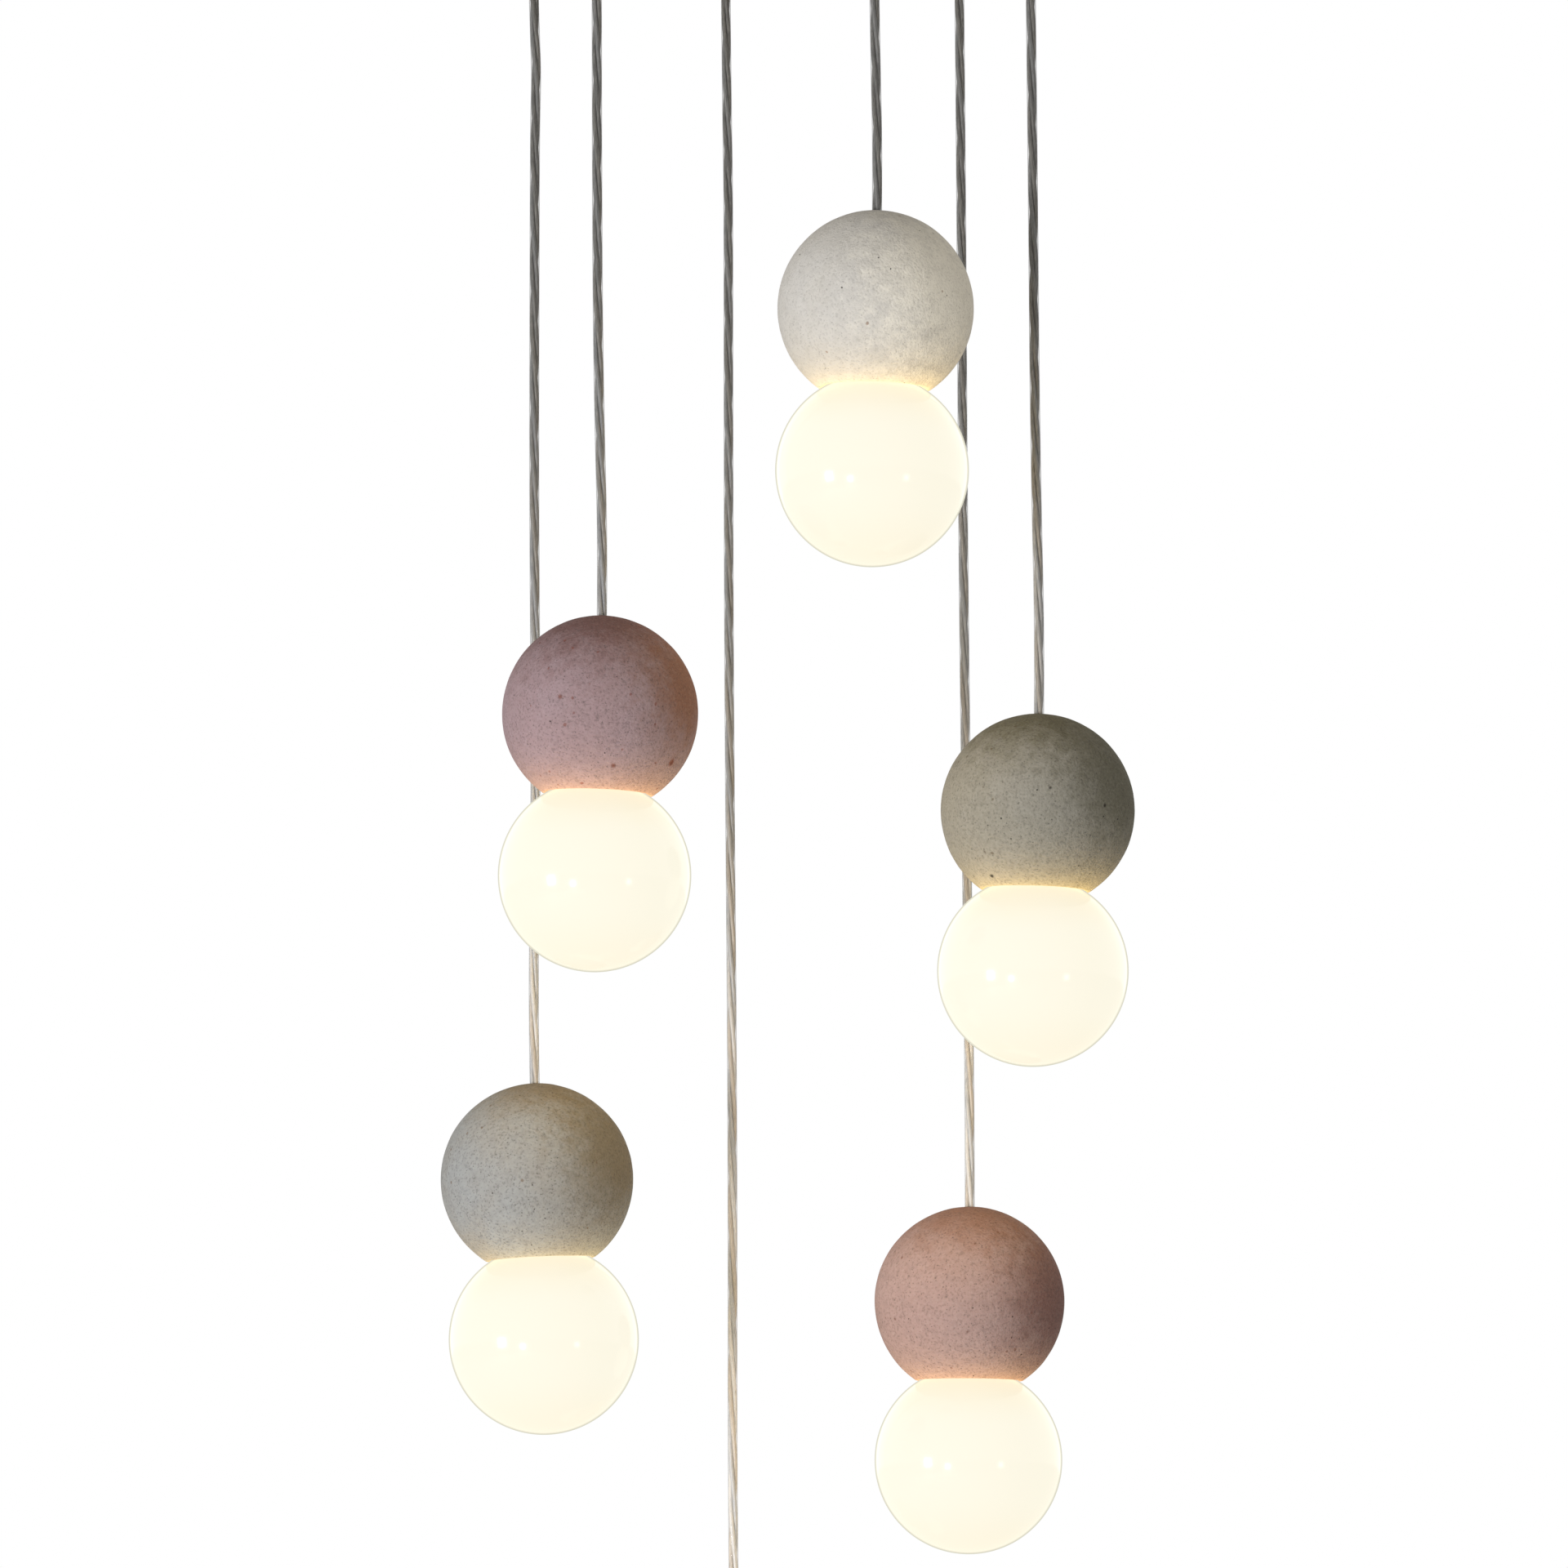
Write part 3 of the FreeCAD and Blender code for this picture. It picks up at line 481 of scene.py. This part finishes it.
def silver_core(name, low_colour, high_colour):
    finish = Finish(name)
    height = finish.add("ShaderNodeSeparateXYZ", None, {"Vector": finish.place}, "Z")
    # The cores are painted darker up high for the shade there, with fewer bright strands, and lighter among
    # the globes for their light.
    up_high = finish.between(AMONG_THE_GLOBES, UP_HIGH, height)
    strands = finish.noise(1.0, 3, 0.6, finish.stretched(0.0006, 0.012))
    bright = finish.between(0.44, 0.64, strands)
    colour = finish.blend(up_high, low_colour, high_colour)
    colour = finish.blend(bright * (0.40 - 0.25 * up_high), colour, BRIGHT_STRAND)
    colour = finish.blend(finish.between(0.45, 0.30, strands) * 0.4, colour, DARK_STRAND)
    finish.set(Base_Color=colour, Roughness=0.40 + 0.2 * strands, Metallic=0.15)
    finish.set(Normal=finish.bump(strands, 0.0002))
    return finish.material


def clear_jacket():
    finish = Finish("clear_jacket")
    waves = finish.noise(0.010, 2)
    height = finish.add("ShaderNodeSeparateXYZ", None, {"Vector": finish.place}, "Z")
    # The jacket's tint is painted darker up high for the shade there.
    tint = finish.blend(finish.between(AMONG_THE_GLOBES, UP_HIGH, height), JACKET_BELOW, JACKET_ABOVE)
    edge = finish.add("ShaderNodeLayerWeight", None, {"Blend": 0.5}, "Facing")
    finish.set(Base_Color=tint, Roughness=0.16 + 0.10 * waves, Coat_Weight=0.3)
    finish.set(Alpha=0.16 + 0.60 * finish.between(0.30, 0.85, edge), Normal=finish.bump(waves, 0.0004))
    return finish.material


# Each core's colour among the globes, then its darker colour up high, which is painted shade.
SILVER_CORES = [
    silver_core("silver_core_cool", srgb(204, 208, 214), srgb(112, 113, 113)),
    silver_core("silver_core_warm", srgb(214, 205, 194), srgb(98, 97, 93)),
    silver_core("silver_core_pale", srgb(236, 236, 236), srgb(90, 90, 88)),
]
JACKET = clear_jacket()
print("cord finishes:", len(SILVER_CORES), "cores and a jacket")

# %% [markdown]
# ### The plain finishes
#
# Paint, plated steel, plastic, ceramic and spun aluminium each have a small surface of their own: orange peel
# in the powder coat, brush lines on steel, fine texture on moulded plastic.

# %% Finishes of the solids
DUST = (0.45, 0.42, 0.38, 1)


def darker(colour, share):
    return (*[share * channel for channel in colour[:3]], 1)


def painted(name, colour, roughness, peel):
    """Powder coat or moulded plastic: slow unevenness, fine peel and a trace of dust."""
    finish = Finish(name)
    coarse, fine = finish.noise(0.030, 3), finish.noise(peel, 2)
    dust = finish.between(0.55, 0.80, finish.noise(0.006, 4, 0.7))
    shade = finish.blend(finish.between(0.35, 0.7, coarse) * 0.25, colour, darker(colour, 0.86))
    shade = finish.blend(dust * 0.10, shade, DUST)
    finish.set(Base_Color=shade, Roughness=roughness + 0.12 * dust, Normal=finish.bump(fine, peel * 0.08))
    return finish.material


def bare_metal(name, colour, roughness, line):
    """Plated or spun metal: fine lines, and slow changes in how dull it is."""
    finish = Finish(name)
    lines = finish.noise(1.0, 2, 0.5, finish.stretched(line, line * 12))
    clouds = finish.noise(0.012, 3)
    shade = finish.blend(finish.between(0.3, 0.7, lines) * 0.22, colour, darker(colour, 0.62))
    finish.set(Base_Color=shade, Metallic=1.0, Roughness=roughness + 0.18 * clouds)
    finish.set(Normal=finish.bump(lines, line * 0.1))
    return finish.material


SOLID_FINISHES = {
    "canopy_pan": painted("canopy_paint", srgb(226, 224, 219), 0.42, 0.0012),
    "cap_nuts": painted("cap_nut_paint", srgb(224, 222, 217), 0.38, 0.0010),
    "cord_glands": painted("gland_plastic", srgb(222, 220, 214), 0.48, 0.0008),
    "ceiling_bracket": bare_metal("zinc_bracket", srgb(188, 190, 192), 0.34, 0.0006),
    "bracket_studs": bare_metal("zinc_studs", srgb(184, 186, 189), 0.30, 0.0003),
    "gland_nuts": bare_metal("zinc_nuts", srgb(190, 190, 186), 0.30, 0.0004),
    "earth_screw": bare_metal("brass_screw", srgb(206, 172, 98), 0.28, 0.0003),
    "junction_box": painted("junction_plastic", srgb(150, 152, 155), 0.55, 0.0007),
    "junction_lid": painted("junction_lid_plastic", srgb(156, 158, 160), 0.52, 0.0007),
    "terminal_block": painted("terminal_plastic", srgb(214, 210, 196), 0.50, 0.0006),
}
HEAD_FINISHES = {
    "fitter": bare_metal("spun_aluminium", srgb(206, 207, 208), 0.32, 0.0005),
    "stem": bare_metal("zinc_stem", srgb(186, 188, 190), 0.33, 0.0003),
    "stem_nuts": bare_metal("zinc_stem_nuts", srgb(190, 190, 187), 0.31, 0.0004),
    "lampholder": painted("white_ceramic", srgb(232, 229, 221), 0.16, 0.0030),
    "lamp": painted("frosted_lamp", srgb(240, 236, 226), 0.36, 0.0009),
}
print(len(SOLID_FINISHES) + len(HEAD_FINISHES), "finishes for the solids")

# %% [markdown]
# ## Dressing the solids
#
# The solids come in as loose triangles. Their meshes are left alone: a small geometry node group joins the
# triangles and shades the round faces smoothly when it is drawn, and keeps every sharp edge sharp.

# %% Smooth shading for the solids
SAME_POINT = 0.000002
SHARP_EDGE_DEG = 32


def round_shading():
    """A node group that merges doubles and shades smoothly all but the sharp edges."""
    tree = bpy.data.node_groups.new("round_shading", "GeometryNodeTree")
    tree.interface.new_socket("Geometry", in_out="INPUT", socket_type="NodeSocketGeometry")
    tree.interface.new_socket("Geometry", in_out="OUTPUT", socket_type="NodeSocketGeometry")
    nodes = Nodes(tree)
    given = nodes.add("NodeGroupInput")
    merged = nodes.add("GeometryNodeMergeByDistance", None, {"Geometry": given, "Distance": SAME_POINT})
    links = {"Geometry": merged, "Shade Smooth": True}
    smooth = nodes.add("GeometryNodeSetShadeSmooth", {"domain": "FACE"}, links)
    angle = nodes.add("GeometryNodeInputMeshEdgeAngle")
    links = {"Geometry": smooth, "Selection": angle > math.radians(SHARP_EDGE_DEG), "Shade Smooth": False}
    sharp = nodes.add("GeometryNodeSetShadeSmooth", {"domain": "EDGE"}, links)
    nodes.join(sharp, nodes.tree.nodes.new("NodeGroupOutput").inputs["Geometry"])
    return tree


ROUND_SHADING = round_shading()


def dress(node_name, material):
    """Gives a solid its finish and the smooth shading."""
    solid = frame["nodes"][node_name]
    if not solid.material_slots:
        solid.data.materials.append(None)
    for material_slot in solid.material_slots:
        material_slot.link = "OBJECT"
        material_slot.material = material
    solid.modifiers.new("round_shading", "NODES").node_group = ROUND_SHADING


for node_name, material in SOLID_FINISHES.items():
    dress(node_name, material)
for pendant in PENDANTS:
    for piece_name, material in HEAD_FINISHES.items():
        dress(f"{pendant}_{piece_name}", material)
print("dressed", len(SOLID_FINISHES) + len(PENDANTS) * len(HEAD_FINISHES), "solids")

# %% [markdown]
# ## Cords
#
# A cord that carries a weight hangs almost straight, with the slight waves of a flex that came off a reel.
# Its route is a NURBS curve through the air from the gland to the ball and down the hollow stem. The three
# cores wind round the line that the curve gives when it has no thickness.

# %% The routes
CORD_RADIUS = 0.0031
SOCKET_FLOOR = -0.0365
ABOVE_BALL = 0.072
CORD_START = -0.0388
CORD_BENDS = {
    "ivory": [(0.0006, 0.0003, -0.126)],
    "mauve": [(-0.0005, 0.0004, -0.175), (-0.0004, -0.0005, -0.330)],
    "sage": [(0.0005, 0.0004, -0.190), (0.0003, -0.0005, -0.365)],
    "grey": [(0.0010, 0.0003, -0.092), (0.0021, 0.0005, -0.121), (0.0011, 0.0002, -0.150),
             (0.0005, -0.0004, -0.235), (-0.0004, 0.0003, -0.395), (0.0003, 0.0005, -0.580)],
    "rose": [(0.0003, 0.0005, -0.190), (-0.0004, -0.0004, -0.400), (0.0005, 0.0003, -0.620)],
    "chalk": [(0.0003, 0.0004, -0.120), (0.0010, 0.0006, -0.175), (0.0004, -0.0004, -0.290),
              (-0.0004, 0.0003, -0.500), (0.0005, -0.0003, -0.780)],
}


def cord_route(pendant):
    """The points that steer a pendant's cord, from inside its gland to the lampholder."""
    top, head = cord_place(pendant), head_matrix(pendant)
    return [
        top + Vector((0, 0, CORD_START)),
        *[top + Vector(bend) for bend in CORD_BENDS[pendant]],
        head @ Vector((0, 0, ABOVE_BALL)),
        head @ Vector((0, 0, SOCKET_FLOOR)),
    ]


def new_curve(name, radius=0.0):
    """An empty curve object whose splines get this thickness."""
    curve = bpy.data.curves.new(name, "CURVE")
    curve.dimensions = "3D"
    curve.resolution_u = 32
    curve.bevel_depth = radius
    curve.bevel_resolution = 5
    curve.use_fill_caps = True
    piece = bpy.data.objects.new(name, curve)
    bpy.context.scene.collection.objects.link(piece)
    return piece


def steer(piece, points):
    """Adds one smooth NURBS spline along these points."""
    spline = piece.data.splines.new("NURBS")
    spline.points.add(len(points) - 1)
    for control, point in zip(spline.points, points):
        control.co = (*point, 1)
    spline.use_endpoint_u = True
    spline.order_u = 3
    return spline


def line_of(piece):
    """The points along a curve, read from its mesh while it has no thickness."""
    thickness, piece.data.bevel_depth = piece.data.bevel_depth, 0
    bpy.context.view_layer.update()
    mesh = bpy.data.meshes.new_from_object(piece.evaluated_get(bpy.context.evaluated_depsgraph_get()))
    points = [vertex.co.copy() for vertex in mesh.vertices]
    bpy.data.meshes.remove(mesh)
    piece.data.bevel_depth = thickness
    return points


# %% Jackets and twisted cores
CORE_RADIUS = 0.00136
CORE_OFFSET = 0.00158
TWIST_PITCH = 0.110
TWIST_STEP = 0.004


def even_steps(points, step):
    """Points at even steps along a line, each with the distance run so far."""
    steps, run, wanted = [], 0.0, 0.0
    for start, stop in zip(points, points[1:]):
        length = (stop - start).length
        while wanted <= run + length:
            steps.append((start.lerp(stop, (wanted - run) / length), wanted))
            wanted += step
        run += length
    return steps, run


for pendant in PENDANTS:
    jacket = new_curve(f"{pendant}_jacket", CORD_RADIUS)
    steer(jacket, cord_route(pendant))
    jacket.data.materials.append(JACKET)
    line, length = even_steps(line_of(jacket), TWIST_STEP)

    cores = new_curve(f"{pendant}_cores", CORE_RADIUS)
    cores.data.bevel_resolution = 2
    cores.data.resolution_u = 2
    for number, material in enumerate(SILVER_CORES):
        cores.data.materials.append(material)
        around = number * math.tau / 3
        helix = []
        for point, run in line:
            turn = around + run / TWIST_PITCH * math.tau
            helix.append(point + CORE_OFFSET * Vector((math.cos(turn), math.sin(turn), 0)))
        steer(cores, helix).material_index = number
    for piece in (jacket, cores):
        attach(piece, f"{pendant}_pendant")
    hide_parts(f"{pendant}_cord")

# %% [markdown]
# ## Turned pieces
#
# The balls and the globes are round about one axis, like work on a lathe. A profile of vertices is drawn in
# the XZ plane and `bmesh.ops.spin` turns it through a full circle. The finished mesh is moved to its head,
# so that its object can stay at the origin.

# %% A lathe
SAME_CORNER = 0.000005


def arc(centre, radius, start, stop, steps):
    """Profile points on an arc, between two angles that are measured from straight outwards."""
    angles = [math.radians(start + (stop - start) * step / steps) for step in range(steps + 1)]
    return [(centre[0] + radius * math.cos(angle), centre[1] + radius * math.sin(angle)) for angle in angles]


def lathe(profile, steps, closed):
    """A bmesh made by spinning a profile, with its poles merged and its faces turned outwards."""
    shape = bmesh.new()
    corners = [shape.verts.new((across, 0, up)) for across, up in profile]
    pairs = list(zip(corners, corners[1:])) + ([(corners[-1], corners[0])] if closed else [])
    edges = [shape.edges.new(pair) for pair in pairs]
    bmesh.ops.spin(shape, geom=corners + edges, cent=(0, 0, 0), axis=(0, 0, 1), angle=math.tau, steps=steps,
                   use_merge=True)
    bmesh.ops.remove_doubles(shape, verts=shape.verts, dist=SAME_CORNER)
    bmesh.ops.recalc_face_normals(shape, faces=shape.faces)
    return shape


def finish_piece(name, shape, pendant, body, material, solid):
    """Moves a shape to its head and makes it a piece that rides on a body in place of a solid."""
    bmesh.ops.transform(shape, matrix=head_matrix(pendant), verts=shape.verts)
    mesh = bpy.data.meshes.new(name)
    shape.to_mesh(mesh)
    shape.free()
    mesh.shade_smooth()
    mesh.materials.append(material)
    piece = bpy.data.objects.new(name, mesh)
    bpy.context.scene.collection.objects.link(piece)
    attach(piece, body)
    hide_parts(solid)
    return piece


# %% [markdown]
# ### Cement balls
#
# Each ball is cast round a hollow: a hole for the cord at the top, a pocket for the threaded insert, a flat
# ledge, and under it a hollowed seat that follows the globe at an even gap. The rim is worn round by hand.
# A cast ball is never quite true, so slow noise moves its outer skin in and out by a few tenths of a
# millimetre.

# %% Balls
CAVITY_RADIUS = 0.050
CORD_HOLE = 0.0038
HOLE_ROUND = 0.0006
ROOF, LEDGE = 0.044, -0.038
INSERT_RADIUS, INSERT_LENGTH = 0.008, 0.010
SEAT_RADIUS = 0.0596
THROAT = 0.0266
RIM_ROUND = 0.0020


def angle_at(centre, point):
    return math.degrees(math.atan2(point[1] - centre[1], point[0] - centre[0]))


def ball_profile():
    """The section of a ball, from the cord hole over the skin to the rim, the seat and the hollow."""
    globe_centre = (0, -GLOBE_DROP)
    inner, outer = BALL_RADIUS - RIM_ROUND, SEAT_RADIUS + RIM_ROUND
    rim_height = (outer**2 - inner**2 - GLOBE_DROP**2) / (2 * GLOBE_DROP)
    rim = (math.sqrt(inner**2 - rim_height**2), rim_height)
    skin_stop = angle_at((0, 0), rim)
    seat_start = angle_at(globe_centre, rim)
    hole_top = math.sqrt((BALL_RADIUS - HOLE_ROUND) ** 2 - (CORD_HOLE + HOLE_ROUND) ** 2)
    hole_edge = (CORD_HOLE + HOLE_ROUND, hole_top)
    skin_start = angle_at((0, 0), hole_edge)
    seat_stop = math.degrees(math.acos(THROAT / SEAT_RADIUS))
    roof_angle = math.degrees(math.asin(ROOF / CAVITY_RADIUS))
    ledge_angle = math.degrees(math.asin(LEDGE / CAVITY_RADIUS))
    return [
        *arc(hole_edge, HOLE_ROUND, 180, skin_start, 4),
        *arc((0, 0), BALL_RADIUS, skin_start, skin_stop, 84)[1:],
        *arc(rim, RIM_ROUND, skin_stop, seat_start - 180, 7)[1:],
        *arc(globe_centre, SEAT_RADIUS, seat_start, seat_stop, 10)[1:],
        (THROAT, LEDGE),
        *arc((0, 0), CAVITY_RADIUS, ledge_angle, roof_angle, 24),
        (INSERT_RADIUS, ROOF),
        (INSERT_RADIUS, ROOF + INSERT_LENGTH),
        (CORD_HOLE, ROOF + INSERT_LENGTH),
    ]


SKIN_DEPTH = 0.0008
SLOW_WAVE, QUICK_WAVE, SHRINKAGE = 0.00030, 0.00008, 0.00012


def rough_cast(shape, seed):
    """Moves the outer skin in and out a little, as a cast ball is never quite true."""
    for vertex in shape.verts:
        reach = vertex.co.length
        if reach > BALL_RADIUS - SKIN_DEPTH:
            slow = noise.noise(vertex.co * 22 + Vector((seed, 0, 0)))
            quick = noise.fractal(vertex.co * 90 + Vector((0, seed, 0)), 0.7, 2.0, 3)
            vertex.co *= 1 + (SLOW_WAVE * slow + QUICK_WAVE * quick - SHRINKAGE) / reach


for number, pendant in enumerate(PENDANTS):
    shape = lathe(ball_profile(), 192, closed=True)
    rough_cast(shape, 7.3 * number)
    print(pendant, "ball has", len(shape.faces), "faces")
    finish_piece(f"{pendant}_cement_ball", shape, pendant, f"{pendant}_pendant", CEMENTS[pendant],
                 f"{pendant}_ball")

# %% [markdown]
# ### Opal globes
#
# A globe is blown in a mould with a short neck that screws up into the fitter. Its profile is one closed
# line: the outside, over the lip of the neck, and back down the inside. Each vertex keeps its height on the
# globe as an attribute, which the glow reads.

# %% Globes
GLOBE_RADIUS, GLOBE_WALL = 0.059, 0.003
NECK_RADIUS, NECK_TOP = 0.024, -0.0295
LIP_ROUND = 0.0012


def globe_profile():
    """The section of a globe, from the bottom up the outside, over the lip and down the inside."""
    centre = (0, -GLOBE_DROP)
    neck_inner = NECK_RADIUS - GLOBE_WALL
    outside = math.degrees(math.acos(NECK_RADIUS / GLOBE_RADIUS))
    inside = math.degrees(math.acos(neck_inner / (GLOBE_RADIUS - GLOBE_WALL)))
    lip = NECK_TOP - LIP_ROUND
    return [
        *arc(centre, GLOBE_RADIUS, -90, outside, 88),
        (NECK_RADIUS, lip - 0.004),
        *arc((NECK_RADIUS - LIP_ROUND, lip), LIP_ROUND, 0, 90, 4),
        *arc((neck_inner + LIP_ROUND, lip), LIP_ROUND, 90, 180, 4),
        (neck_inner, lip - 0.004),
        *arc(centre, GLOBE_RADIUS - GLOBE_WALL, inside, -90, 48),
    ]


globes = []
for pendant in PENDANTS:
    shape = lathe(globe_profile(), 160, closed=False)
    heights = [(vertex.co.z + GLOBE_DROP) / GLOBE_RADIUS for vertex in shape.verts]
    print(pendant, "globe has", len(shape.faces), "faces")
    globe = finish_piece(f"{pendant}_opal_globe", shape, pendant, f"{pendant}_glass", OPAL,
                         f"{pendant}_globe")
    globe.data.attributes.new("height", "FLOAT", "POINT").data.foreach_set("value", heights)
    globes.append(globe)

# %% [markdown]
# ### The light of the globes
#
# A surface that glows at the strength of white paper lights its neighbours only faintly, while a real lamp
# lights the ball's rim strongly. A round light just outside the glass of each globe rides with it. The camera
# doesn't see it, only the warm light that it throws on the rim, the seat and the cords nearby. Light linking
# leaves the glass out of it, so that it keeps its even glow.

# %% Globe lights
GLOW_COLOUR = (1.0, 0.66, 0.20)
JUST_OUTSIDE = 0.0003
GLOW_WATTS = {"ivory": 0.23, "mauve": 0.38, "sage": 0.46, "grey": 0.27, "rose": 0.29, "chalk": 0.26}
unlit = bpy.data.collections.new("unlit_globes")
for globe in globes:
    unlit.objects.link(globe)
for member in unlit.collection_objects:
    member.light_linking.link_state = "EXCLUDE"
for pendant in PENDANTS:
    glow_data = bpy.data.lights.new(f"{pendant}_glow", "POINT")
    glow_data.shadow_soft_size = GLOBE_RADIUS + JUST_OUTSIDE
    glow_data.use_soft_falloff = False
    glow_data.energy = GLOW_WATTS[pendant]
    glow_data.color = GLOW_COLOUR
    glow = bpy.data.objects.new(f"{pendant}_glow", glow_data)
    glow.location = head_matrix(pendant) @ Vector((0, 0, -GLOBE_DROP))
    glow.visible_camera = False
    glow.visible_glossy = False
    glow.visible_transmission = False
    glow.light_linking.receiver_collection = unlit
    bpy.context.scene.collection.objects.link(glow)
    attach(glow, f"{pendant}_glass")
print("six lights ride in the globes")

# %% [markdown]
# ## The cords inside the canopy
#
# Above the glands each cord bends over and runs flat to the junction box. The NURBS curve rounds the corner
# at the second point of its route.

# %% Cord tails
TAIL_START = -0.038
TAIL_HEIGHT = -0.0115
TAIL_BEND, TAIL_END = 0.110, 0.035
TAIL_CORE_RADIUS = 0.0023


def tail_route(pendant):
    top = cord_place(pendant)
    inward = top.normalized()
    return [
        top + Vector((0, 0, TAIL_START)),
        top + Vector((0, 0, TAIL_HEIGHT)),
        inward * TAIL_BEND + Vector((0, 0, TAIL_HEIGHT)),
        inward * TAIL_END + Vector((0, 0, TAIL_HEIGHT)),
    ]


tail_jackets = new_curve("tail_jackets", CORD_RADIUS)
tail_jackets.data.materials.append(JACKET)
tail_cores = new_curve("tail_cores", TAIL_CORE_RADIUS)
tail_cores.data.materials.append(SILVER_CORES[0])
for pendant in PENDANTS:
    steer(tail_jackets, tail_route(pendant))
    steer(tail_cores, tail_route(pendant))
for piece in (tail_jackets, tail_cores):
    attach(piece, "canopy")
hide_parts("cord_tails")
print("six tails run to the junction box")

# %% [markdown]
# ## The floor's finish
#
# The floor is matt and pale. To the camera it also glows a little, and more so far off, where it fades into
# the white background.

# %% Floor finish
FADE_START, FADE_STOP = 3.5, 24
GLOW_NEARBY = 0.6

floor_finish = Finish("pale_floor")
floor_finish.set(Base_Color=(0.86, 0.86, 0.85, 1), Roughness=0.9)
lit = floor_finish.add("ShaderNodeEmission", None, {"Color": (1, 1, 1, 1), "Strength": 1.0})
floor_seen = floor_finish.add("ShaderNodeLightPath", output="Is Camera Ray")
away = floor_finish.add("ShaderNodeVectorMath", {"operation": "LENGTH"}, {0: floor_finish.place}, "Value")
whiteness = GLOW_NEARBY + (1 - GLOW_NEARBY) * floor_finish.between(FADE_START, FADE_STOP, away)
plain = Value(floor_finish, floor_finish.shader.outputs[0])
floor_shader = floor_finish.mix_shader(floor_seen * whiteness, plain, lit)
floor_finish.join(floor_shader, floor_finish.out.inputs["Surface"])
floor.data.materials.append(floor_finish.material)
